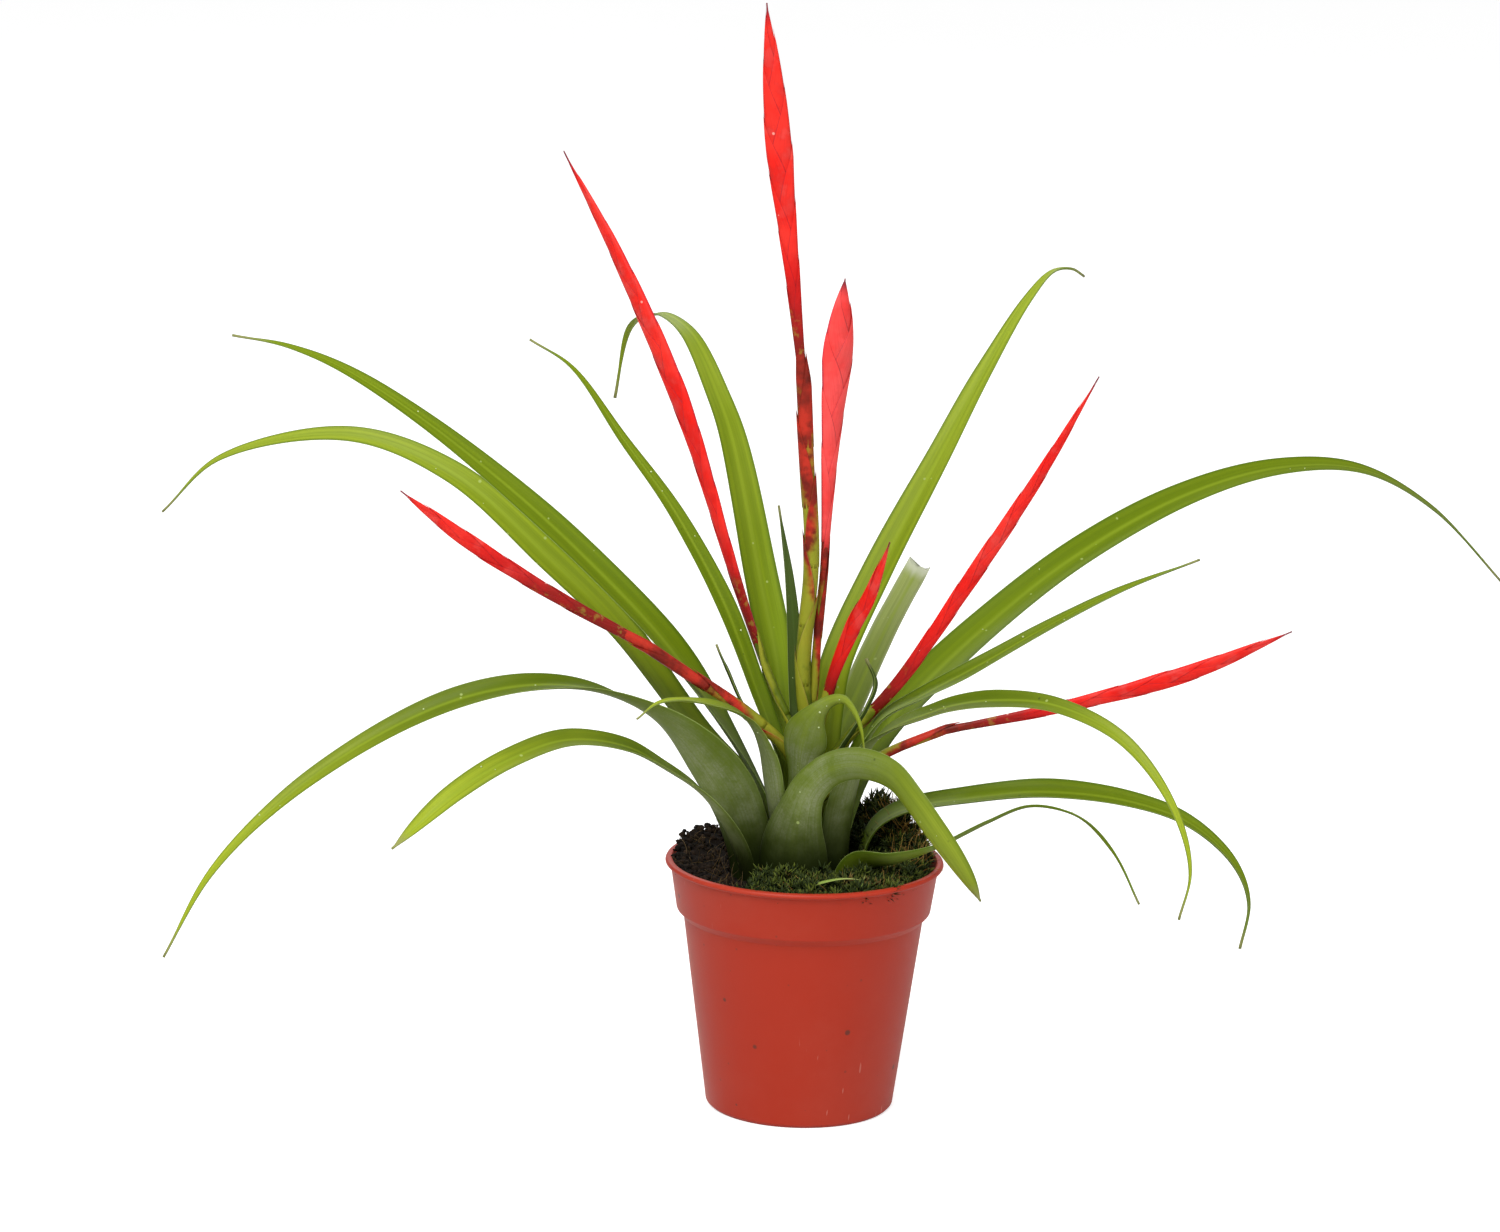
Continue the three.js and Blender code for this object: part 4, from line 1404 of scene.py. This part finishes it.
@dataclass
class Leaf:
    """One strap leaf with its sheath, the finer form of its CAD node."""

    name: str
    hue: Hue
    turn: float
    sheath: float
    blade: float
    channel: float
    roll: float
    full: float
    line: Line
    belly: float = 0.0
    belly_at: float = 0.2
    lean: float = 0.0
    cut: bool = False
    thick: float = 0.8
    tip_width: float = 0.8
    sheath_reach: float = 0.24
    belly_span: float = 0.09
    cut_loss: float = 0.2
    cut_from: float = 0.85
    ragged: float = 3.0
    ragged_scale: float = 2.5
    ragged_tilt: float = 0.6
    roll_reach: float = 0.45
    wave: float = 0.35
    wave_scale: float = 9.0
    rows: int = 120
    across_steps: int = 14
    length: float = 0.0
    walk: list[Station] = field(default_factory=list)

    def prepare(self) -> None:
        """Walks the leaf's midline."""
        turns = [spot[2] if len(spot) > 2 else self.turn for spot in self.line]
        path = Path([stage_point(turn, spot[0], spot[1]) for turn, spot in zip(turns, self.line)])
        self.length = path.length
        self.walk = stations(path, turns[0], self.rows)

    def width(self, along: float) -> float:
        """Returns the leaf's width in mm at a share of its length."""
        tip = 1 - self.cut_loss * along if self.cut else 1 - along**self.full
        sheath = (self.sheath - self.blade) * bell(along, 0, self.sheath_reach)
        belly = self.belly * bell(along, self.belly_at, self.belly_span)
        return max(self.tip_width, self.blade * tip + sheath + belly)

    def surface(self, along: float, across: float, depth: float) -> Vector:
        """Returns a point of the leaf.

        Args:
            along: the share of its length.
            across: the place across it, from -1 to 1.
            depth: how far it lies towards the axis from the middle of the blade, in mm.

        Returns:
            The point in metres.
        """
        spot = self.walk[round(along * self.rows)]
        half = self.width(along) / 2
        out = math.hypot(spot.centre.x, spot.centre.y) / MM
        fold = mix(half / max(out, 1), self.channel, smooth(along / (2 * self.sheath_reach)))
        radius = half / fold
        angle = across * fold
        free = smooth((along - self.sheath_reach / 2) / self.roll_reach)
        sunk = free * radius * (1 - math.cos(fold)) / 2
        sideways = (radius - depth) * math.sin(angle)
        inwards = radius - (radius - depth) * math.cos(angle) - sunk
        roll = math.radians(mix(self.lean, self.roll, free))
        inwards += free * self.wave * noise.noise(Vector((along * self.wave_scale, self.turn, across)))
        shift_side = sideways * math.cos(roll) + inwards * math.sin(roll)
        return spot.off(inwards * math.cos(roll) - sideways * math.sin(roll), shift_side)

    def place(self, angle: float, along: float) -> tuple[Vector, Marks]:
        """Places a point of the leaf's closed skin."""
        across = -math.cos(angle)
        edge = math.sqrt(max(0.0, 1 - across * across))
        outer = 0.5 + 0.5 * math.sin(angle) / max(edge, 0.001)
        thin = min(self.thick, self.width(along)) / 2
        point = self.surface(along, across, -thin * math.sin(angle))
        if self.cut:
            bits = noise.noise(Vector((across * self.ragged_scale, 0, 7)))
            share = smooth((along - self.cut_from) / (1 - self.cut_from))
            point += self.walk[-1].ahead * MM * self.ragged * (bits + self.ragged_tilt * across) * share
        return point, {"along": along, "across": across, "outer": outer, "reach": along * self.length / 0.1}

    def build(self, finishes: dict[Hue, bpy.types.Material]) -> None:
        """Builds the leaf in the place of its CAD node."""
        self.prepare()
        shape = Shape("along", "across", "outer", "reach")
        shape.sleeve(2 * self.across_steps, self.rows, self.place)
        shape.piece(self.name.removeprefix("leaf_") + "_leaf", finishes[self.hue], "leaf", self.name)


def leaves() -> list[Leaf]:
    """Returns all leaves, each with the line that its CAD node follows."""
    return [
        Leaf("leaf_left_straight", Hue.GREEN, 186, 15, 16, 0.55, 45, 2,
             [(9.4, 62.3), (9.5, 82), (11.6, 95), (16.5, 107), (26, 124), (47, 154.5), (91, 199),
              (143, 238.5), (167, 249.5), (185, 253)], belly=5, belly_at=0.3),
        Leaf("leaf_left_arched", Hue.SUNLIT, 166, 13, 15.5, 0.6, 50, 1.7,
             [(10.9, 62.3), (11, 80), (13, 92), (17, 101), (23, 108), (36, 120), (63, 153), (87, 174.5),
              (120.5, 200.5), (156, 210.5), (200, 199.5), (220, 180)], belly=3),
        Leaf("leaf_left_drooping", Hue.GREY, 207, 15.5, 13, 0.7, 56, 2.1,
             [(18.6, 62.3, 207), (18.8, 75, 207), (20.8, 88, 206), (25.4, 102, 204), (33, 114.5, 200),
              (47, 129.3, 196), (68, 139.8, 193), (90, 142.6, 193), (112, 139.2, 193), (135, 130, 193),
              (168, 109, 193), (193, 84, 193), (208, 57, 193)], belly=7, lean=-42),
        Leaf("leaf_left_low", Hue.GREY, 219, 11.5, 8.6, 0.7, 30, 14,
             [(22.5, 62.3), (22.7, 75), (26.6, 87), (33.5, 99), (42.5, 109.7), (56, 119.5), (72, 129),
              (96, 135), (118, 131.8), (140, 123.5), (163, 109.5)], belly=4, lean=8),
        Leaf("leaf_left_inner", Hue.GREEN, 166, 11, 11, 0.6, 35, 2,
             [(6.8, 62.3), (6.9, 100), (8.6, 114), (13, 126), (17, 136), (28, 163), (44.5, 191.5),
              (62.5, 214.5), (81, 238), (95, 246)]),
        Leaf("leaf_back_left", Hue.FRESH, 117, 9.4, 16.3, 0.5, 0, 1.8,
             [(8.1, 62.3), (8.2, 99), (10.2, 111), (17, 123), (23, 141), (37, 168), (59, 209), (71.5, 222),
              (92, 237), (111, 241), (124, 239), (140, 231), (150, 206)], tip_width=1.2),
        Leaf("leaf_back_inner", Hue.DEEP, 108, 5, 8, 0.5, 0, 2.5,
             [(5.2, 62.3), (5.4, 108), (8, 122), (13, 138), (17, 153), (23, 170), (29, 180), (36, 191)]),
        Leaf("leaf_left_bud", Hue.DEEP, 186, 3, 6.5, 0.5, 0, 2,
             [(8.05, 62.3), (8.2, 96), (10.4, 109), (15, 121), (20, 131), (26, 144), (30, 153)], thick=1.1),
        Leaf("leaf_left_curl", Hue.GREY, 229.5, 5.6, 10.6, 0.6, 20, 2,
             [(11.4, 62.3, 231), (11.7, 83, 231), (14.3, 95, 231.5), (17.8, 107, 232.5), (22, 121, 233.5),
              (31, 134, 232), (52, 143, 229.5), (72, 146, 229.5), (82, 142.5, 229.5)],
             belly=3.6, belly_at=0.44),
        Leaf("leaf_front", Hue.GREY, 257, 25, 11, 0.6, 25, 14,
             [(18.9, 62.3, 257), (19.1, 81, 257), (20.2, 91, 258), (21.3, 100, 262), (23, 110, 270),
              (27, 117, 281), (34, 121.5, 290), (44, 123.5, 296), (54, 122, 300), (64, 115.5, 302),
              (72, 105, 306), (77, 95, 310), (80, 85, 314)], belly=5),
        Leaf("leaf_front_inner", Hue.GREY, 240, 13.5, 9, 0.6, 0, 2,
             [(7.9, 62.3, 248), (8, 95, 248), (8.8, 108, 252), (11, 122, 262), (15, 132.5, 276),
              (19, 138.5, 290), (23, 140, 299), (26.5, 137, 303), (29.5, 131, 305.5), (31.2, 122, 306.5)],
             belly=10, belly_at=0.59),
        Leaf("leaf_right_upper", Hue.SUNLIT, 52, 9.6, 15.5, 0.6, -10, 2,
             [(10.2, 62.3), (10.4, 98), (11.2, 118), (12.6, 133), (15, 144), (34.5, 170.5), (68, 207),
              (90, 230.5), (113, 251.5), (126, 259), (137, 258.5), (144, 255)]),
        Leaf("leaf_right_cut", Hue.PALE, 66, 9, 12, 0.6, 0, 2,
             [(11.5, 62.3), (11.7, 88), (15, 104), (24, 116), (36, 127), (58, 144), (88, 162)], cut=True),
        Leaf("leaf_right_arched", Hue.GREEN, 36, 15, 17.5, 0.6, -35, 1.5,
             [(12.9, 62.3), (13.2, 84), (18, 101), (24, 112), (32, 122), (44.5, 132.5), (70, 150),
              (106.5, 170), (150, 185.5), (194, 191.5), (230, 187), (263, 170), (296, 140.5)], belly=4),
        Leaf("leaf_right_thin", Hue.GREEN, 17, 3, 10.5, 0.7, -93, 2,
             [(8.2, 62.3, 312), (8.8, 85, 312), (11.4, 98, 314), (13.7, 109, 326), (17.5, 118.5, 343),
              (24, 129.5, 358), (36, 135.5, 8), (50.5, 141, 15), (77.5, 154, 17), (103.5, 166, 17),
              (132, 175.5, 17)]),
        Leaf("leaf_right_front", Hue.GREY, 324, 15, 14, 0.6, -40, 1.2,
             [(14, 62.3), (14.1, 84), (15.6, 100), (19.5, 114), (26.5, 125.5), (36, 132.5), (46, 137.5),
              (56, 142), (72, 146.5), (95, 148.5), (118.5, 143), (133, 132.5), (143.5, 118), (147.5, 103),
              (144, 88)], belly=5),
        Leaf("leaf_right_curl", Hue.DEEP, 338.5, 2.4, 3.4, 0.4, 0, 6,
             [(9.6, 62.3), (9.6, 112), (11, 119), (15.5, 126.5), (20, 134.5), (22.8, 143), (19.5, 150.5)],
             thick=1.5, tip_width=1.1),
        Leaf("leaf_right_low", Hue.GREEN, 6, 10, 12.5, 0.9, -30, 2.5,
             [(17.6, 62.3), (18, 78), (22.5, 91.5), (31, 97.5), (53, 102), (79, 104.5), (103, 101.5),
              (124, 94.5), (140, 80.5), (146, 66), (143.5, 51)], belly=3),
        Leaf("leaf_right_wiry", Hue.GREEN, 312, 9, 5.5, 0.5, 0, 2,
             [(18.8, 62.5, 312), (19.3, 77, 314), (25.5, 85.5, 317), (36, 88, 322), (46.5, 92, 335),
              (60.5, 100, 344), (74, 106, 346), (88, 103, 349), (99.5, 91, 352), (109, 74, 351)],
             belly=5, lean=25),
    ]


@dataclass(frozen=True)
class Fold:
    """How a folded sheet clasps a stem: how far round at its foot, how soon less, and its thickness."""

    wrap: float
    power: float
    thick: float
    thin: float = 5.0

    def at(self, turn: float, along: float) -> tuple[float, float, float]:
        """Returns the place across the sheet, the angle round the stem and how far the skin lies off."""
        across = -math.cos(turn)
        angle = across * math.radians(self.wrap) * (1 - along**self.power)
        return across, angle, -self.thick / 2 * math.sin(turn) * min(1.0, self.thin * (1.001 - along))


@dataclass
class Spike:
    """One flower spike: its stalk in the scape and its head of overlapping bracts."""

    name: str
    turn: float
    width: float
    foot: float
    peak: float
    stalk: float
    route: Line
    line: Line
    ripe: float = 0.2
    verdant: float = 0.6
    # whether the head takes the rosy bract finish: pinker, and painted lighter to make up for the shade on
    # its faces, which turn away from the key light
    rosy_lit: bool = False
    gap: float = 0.35
    tip_width: float = 0.5
    swell: float = 1.7
    bract_length: float = 34.0
    bract_spacing: float = 9.5
    shrink: float = 0.2
    flat: float = 0.34
    fold: Fold = Fold(150.0, 1.5, 0.18)
    lift: float = 0.45
    steps: int = 900
    rows: int = 26
    around: int = 28
    settle: float = 2.5
    least_lift: float = 0.2
    bract_gap: float = 0.12
    core_share: float = 0.94
    core_flat: float = 0.9
    core_least: float = 0.1
    core_around: int = 16
    core_rows: int = 100
    core_tone: float = 0.3

    def stem(self) -> Path:
        """Returns the stalk's curve."""
        return Path([stage_point(self.turn, *spot) for spot in self.route])

    def head(self) -> Path:
        """Returns the head's curve, which starts just past the stalk's end."""
        stem = self.stem()
        start = stem.at(1) + stem.heading(1) * self.gap * MM
        return Path([start] + [stage_point(self.turn, *spot) for spot in self.line])

    def raised(self, rise: float) -> float:
        """Returns how far in mm a bract's tip may stand off, which is less near the head's end."""
        return self.lift * min(1.0, self.settle * (1 - rise) + self.least_lift)

    def half(self, rise: float) -> float:
        """Returns half of the head's width in mm at a share of its length."""
        swell = self.foot + (1 - self.foot) * min(1.0, rise / self.peak) ** self.swell
        beyond = max(0.0, rise - self.peak) / (1 - self.peak)
        return max(self.tip_width / 2, self.width / 2 * swell * (1 - beyond**2) - self.raised(rise))

    def build(self, finish: bpy.types.Material) -> None:
        """Builds the head in the place of its CAD node."""
        path = self.head()
        length = path.length / MM
        shape = Shape("along", "across", "rise", "ripe")
        walk = stations(path, self.turn, self.steps)
        self._core(shape, walk)
        count = round((length - self.bract_length) / self.bract_spacing) + 2
        last = 1 - self.bract_length * (1 - self.shrink) / length
        for index in range(count):
            foot = last * index / (count - 1)
            size = self.bract_length * (1 - self.shrink * foot)
            self._bract(shape, walk, foot, min(1.0, foot + size / length), 1 if index % 2 else -1)
        shape.piece(self.name.removeprefix("spike_") + "_spike", finish, "bract", self.name)

    def _core(self, shape: Shape, walk: list[Station]) -> None:
        """Adds the closed body inside the bracts, along the head's stations."""

        def place(angle: float, along: float) -> tuple[Vector, Marks]:
            """Places a point of the core's skin."""
            half = self.half(along)
            deep = (self.core_flat * self.flat * half + self.core_least) * math.sin(angle)
            point = walk[round(along * self.steps)].off(self.core_share * half * math.cos(angle), deep)
            return point, {"along": self.core_tone, "across": 0.5, "rise": along, "ripe": self.ripe}

        shape.sleeve(self.core_around, self.core_rows, place)

    def _bract(self, shape: Shape, walk: list[Station], foot: float, top: float, hand: int) -> None:
        """Adds one folded bract, which clasps the head at its foot and ends in a point on its edge.

        Args:
            shape: where it goes.
            walk: the head's stations.
            foot: the share of the head where it starts.
            top: the share where its tip ends.
            hand: 1 or -1, the side that its keel is on.
        """

        def place(turn: float, along: float) -> tuple[Vector, Marks]:
            """Places a point of the bract's skin."""
            rise = mix(foot, top, along)
            across, angle, skin = self.fold.at(turn, along)
            half, off = self.half(rise), skin + self.raised(rise) * along
            deep = (half * self.flat + self.bract_gap + off) * math.sin(angle)
            point = walk[round(rise * self.steps)].off(hand * (half + off) * math.cos(angle), deep)
            return point, {"along": along, "across": across, "rise": rise, "ripe": self.ripe}

        shape.sleeve(self.around, self.rows, place)


def spikes() -> list[Spike]:
    """Returns the seven spikes, each with the lines that its CAD solids follow."""
    return [
        Spike("spike_tall", 175, 8.7, 0.4, 0.6, 2.3, [(0, 120), (2, 150), (0, 178), (2, 209), (4, 237)],
              [(8.6, 275), (13.6, 314), (18.4, 359)], ripe=0.3, verdant=0.62),
        Spike("spike_left_long", 143, 7.8, 0.5, 0.5, 1.1, [(1, 112), (6, 124), (13, 135), (18, 143)],
              [(31, 171), (53.3, 222.5), (80.5, 267.5), (105, 301)], ripe=0.22, verdant=6.0),
        Spike("spike_right_short", 40, 12.4, 0.3, 0.72, 1.2, [(0.6, 112), (1.6, 132), (3.2, 152), (5, 176)],
              [(6.8, 220), (8.7, 246), (11, 271)], ripe=0.12, verdant=0.6, rosy_lit=True),
        Spike("spike_left_low", 200, 5.2, 0.75, 0.65, 1.8,
              [(1, 108), (8, 120), (20, 131), (40, 145), (54, 155)],
              [(88, 175), (115, 193), (137, 210)], ripe=0.62, verdant=0.45),
        Spike("spike_right_stub", 325, 5.9, 0.75, 0.5, 1.6, [(1, 114), (3, 122), (5, 130)],
              [(10, 146), (17, 162), (23, 173), (30, 191)], ripe=0.3, verdant=1.2),
        Spike("spike_right_slim", 2, 5.4, 0.8, 0.45, 1.6, [(1, 106), (8, 116), (15, 125)],
              [(29.5, 142), (51.7, 176.5), (72.6, 210.5), (90, 242)], ripe=0.25, verdant=2.0),
        Spike("spike_right_low", 358, 5.8, 0.55, 0.6, 1.4, [(1, 98), (10, 107), (25, 117.5), (44, 126)],
              [(83, 135.5), (122, 147.8), (154, 162.3)], ripe=0.3, verdant=0.6),
    ]


@dataclass
class Girth:
    """One place on a stalk and its two radii there, in mm."""

    spot: Station
    wide: float
    deep: float

    def skin(self, angle: float, off: float = 0.0, hand: int = 1) -> Vector:
        """Returns a point round the stalk, so many mm off its skin and mirrored where the hand is -1."""
        deep = (self.deep + off) * math.sin(angle)
        return self.spot.off(hand * (self.wide + off) * math.cos(angle), deep)


@dataclass
class Scape:
    """The branched flower stem, clasped by sheaths, which also clasp the feet of the heads."""

    core: float = 2.6
    core_green: float = 4.0
    foot: float = 62.35
    top: float = 122.0
    around: int = 16
    rows: int = 60
    steps: int = 480
    tone: float = 0.4
    clasp: float = 13.0
    sheath_length: float = 33.0
    sheath_spacing: float = 21.0
    sheath_fold: Fold = Fold(165.0, 1.6, 0.2)
    sheath_gap: float = 0.06
    sheath_lift: float = 0.4
    sheath_steps: int = 20

    def build(self, heads: list[Spike], finish: bpy.types.Material) -> None:
        """Builds the stem and a stalk to each head."""
        shape = Shape("along", "across", "rise", "verdant")
        core = Path([stage_point(0, 0, self.foot), stage_point(0, 0, self.top)])
        stem = [Girth(spot, self.core, self.core) for spot in stations(core, 0, self.steps)]
        self._stalk(shape, stem, core.length, self.core_green)
        for head in heads:
            self._stalk(shape, self._line(head), head.stem().length, head.verdant)
        shape.piece("flower_stem", finish, "scape", "scape")

    def _line(self, head: Spike) -> list[Girth]:
        """Returns the stalk of a head with the first stretch of the head, which its sheaths clasp."""
        stem, top = head.stem(), head.head()
        line = [Girth(spot, head.stalk, head.stalk) for spot in stations(stem, head.turn, self.steps)]
        reach = self.clasp * MM / top.length
        for spot in stations(top, head.turn, round(top.length / stem.length * self.steps)):
            if spot.share > reach:
                break
            half, share = head.half(spot.share), smooth(spot.share / reach)
            deep = mix(head.stalk, half * head.flat + head.core_least, share)
            line.append(Girth(spot, mix(head.stalk, half, share), deep))
        return line

    def _stalk(self, shape: Shape, line: list[Girth], length: float, verdant: float) -> None:
        """Adds one stalk and the sheaths that clasp it by turns from both sides.

        Args:
            shape: where it goes.
            line: its places and radii.
            length: how long its stem is, in metres.
            verdant: the share of it that is green.
        """
        last = len(line) - 1

        def place(angle: float, along: float) -> tuple[Vector, Marks]:
            """Places a point of the stalk's skin."""
            point = line[round(along * last)].skin(angle)
            return point, {"along": self.tone, "rise": along, "verdant": verdant}

        shape.sleeve(self.around, self.rows, place)
        count = max(1, round(length / MM / self.sheath_spacing))
        reach = self.sheath_length * MM / length
        for index in range(count):
            foot = index / count
            top = min(last, round((foot + reach) * self.steps))
            self._sheath(shape, line[round(foot * self.steps) : top + 1], (foot, verdant), index % 2)

    def _sheath(self, shape: Shape, line: list[Girth], marks: tuple[float, float], odd: int) -> None:
        """Adds one clasping sheath.

        Args:
            shape: where it goes.
            line: the places and radii of the stretch it clasps.
            marks: the share of the stalk where it starts, and how much of the stalk is green.
            odd: 1 where it opens to the other side.
        """
        hand = 1 if odd else -1
        first, verdant = marks

        def place(turn: float, along: float) -> tuple[Vector, Marks]:
            """Places a point of the sheath's skin."""
            step = round(along * (len(line) - 1))
            across, angle, skin = self.sheath_fold.at(turn, along)
            point = line[step].skin(angle, self.sheath_gap + self.sheath_lift * along + skin, hand)
            rise = first + step / self.steps
            return point, {"along": along, "across": across, "rise": rise, "verdant": verdant}

        shape.sleeve(self.sheath_steps, self.sheath_steps, place)


@dataclass
class Drops:
    """Water drops on the leaves, coloured pale as painted glints rather than clear water."""

    count: int = 110
    smallest: float = 0.12
    largest: float = 0.34
    flat: float = 0.6
    along: tuple[float, float] = (0.12, 0.85)
    across: tuple[float, float] = (-0.7, 0.7)
    seed: int = 17
    # the drops' two pale colours are painted glints in place of the clear water's reflections
    tint: Colour = (0.35, 0.45, 0.12, 1)
    painted_glint: Colour = (0.7, 0.78, 0.45, 1)

    def build(self, plant: list[Leaf]) -> None:
        """Sets small flattened drops on the leaves' faces."""
        shape, chance, template = Shape(), random.Random(self.seed), ball(2)
        for _ in range(self.count):
            leaf = chance.choice(plant)
            along, across = chance.uniform(*self.along), chance.uniform(*self.across)
            face = chance.choice((-1, 1)) * leaf.thick / 2
            spot = leaf.surface(along, across, face)
            ahead = leaf.surface(along + 1 / leaf.rows, across, face) - spot
            aside = leaf.surface(along, across + 0.05, face) - spot
            normal = aside.cross(ahead).normalized() * (1 if face > 0 else -1)
            size = chance.uniform(self.smallest, self.largest) * MM
            turned = normal.to_track_quat("Z", "Y").to_matrix().to_4x4()
            shrink = Matrix.Diagonal((size, size, size * self.flat, 1))
            shape.copy(template, Matrix.Translation(spot) @ turned @ shrink)
        bpy.data.meshes.remove(template)
        # pale mottled colour: painted glints
        water = MottledFinish("water", 0.04, first=self.tint, second=self.painted_glint, grain=Grain(300.0))
        shape.piece("water_drops", water.make(), "leaf")


def dyed(finish: Finish, **colours: Colour) -> Finish:
    """Returns a finish with the colours of some of its tints changed, by their names."""
    tints = {name: replace(getattr(finish, name), colour=colour) for name, colour in colours.items()}
    return replace(finish, **tints)


def leaf_finishes() -> dict[Hue, bpy.types.Material]:
    """Returns the finish of each leaf skin."""
    fresh = LeafFinish("fresh leaf", middle=(0.20, 0.285, 0.006, 1))
    sunlit = LeafFinish("sunlit leaf", middle=(0.27, 0.355, 0.012, 1))
    green = LeafFinish("green leaf")
    deep = LeafFinish("deep leaf", middle=(0.038, 0.068, 0.005, 1))
    grey = LeafFinish("grey leaf", middle=(0.100, 0.150, 0.003, 1), bloom=0.8)
    # grey leaves: the painted shade at the foot reaches higher up the sheath
    grey = replace(grey, foot=replace(grey.foot, start=0.52, end=0.18), broad=Band(0.6, 0.36, high=0.2))
    pale = LeafFinish("pale leaf", middle=(0.20, 0.27, 0.03, 1), bloom=0.2, broad=Band(0.6, 0.36, high=0.15))
    finishes = {
        Hue.FRESH: dyed(fresh, end=(0.30, 0.385, 0.03, 1), back=(0.17, 0.24, 0.008, 1)),
        Hue.SUNLIT: dyed(sunlit, end=(0.31, 0.39, 0.03, 1), back=(0.19, 0.27, 0.008, 1)),
        # green leaves: a less dark painted shade at the foot
        Hue.GREEN: dyed(green, foot=(0.05, 0.07, 0.006, 1)),
        Hue.DEEP: dyed(
            deep,
            end=(0.05, 0.08, 0.015, 1),
            back=(0.04, 0.068, 0.006, 1),
            midline=(0.06, 0.1, 0.02, 1),
            edge=(0.03, 0.05, 0.008, 1),
        ),
        # grey leaves: the bright end is mostly painted light on the hanging tips
        Hue.GREY: dyed(
            grey, end=(0.36, 0.44, 0.025, 1), back=(0.15, 0.20, 0.02, 1), edge=(0.10, 0.15, 0.01, 1)
        ),
        Hue.PALE: dyed(
            pale,
            end=(0.34, 0.40, 0.12, 1),
            back=(0.26, 0.33, 0.07, 1),
            edge=(0.34, 0.38, 0.2, 1),
            dry=(0.6, 0.63, 0.48, 1),
        ),
    }
    return {hue: finish.make() for hue, finish in finishes.items()}


def grown(name: str, foot: Colour, body: Colour, end: Colour) -> bpy.types.Material:
    """Returns a finish for fine growth from its name and its three colours."""
    return dyed(TuftFinish(name, foot=foot), body=body, end=end).make()


def main() -> None:
    """Builds the plant, piece by piece, and keeps its sizes."""
    logging.basicConfig(level=logging.INFO, format="%(message)s")
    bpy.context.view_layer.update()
    Studio().build()
    pot = Pot()
    pot.build(PotFinish("terracotta plastic").make())
    tan = grown("dry moss", (0.02, 0.012, 0.005, 1), (0.07, 0.042, 0.015, 1), (0.20, 0.13, 0.05, 1))
    bed = Bed(pot)
    bed.build(EarthFinish("peat").make(), tan)
    rust = grown("seed stalks", (0.06, 0.03, 0.01, 1), (0.22, 0.11, 0.022, 1), (0.42, 0.27, 0.06, 1))
    blade = grown("grass", (0.10, 0.15, 0.03, 1), (0.24, 0.34, 0.06, 1), (0.5, 0.5, 0.2, 1))
    Moss(bed).build(TuftFinish("green moss").make(), rust, blade)
    finishes, plant, heads = leaf_finishes(), leaves(), spikes()
    for leaf in plant:
        leaf.build(finishes)
    Scape().build(heads, StalkFinish("flower stem").make())
    scarlet = BractFinish("scarlet bract").make()
    # the rosy bract finish: partly a pinker red, partly painted light, lighter than the scarlet to make up
    # for the shade on the short head's faces
    lit_pink = BractFinish("rosy bract", body=(0.96, 0.055, 0.05, 1), deep=(0.62, 0.02, 0.02, 1))
    rosy_lit = dyed(lit_pink, lit=(1.0, 0.10, 0.095, 1)).make()
    for head in heads:
        head.build(rosy_lit if head.rosy_lit else scarlet)
    Drops().build(plant)


if __name__ == "__main__":
    main()
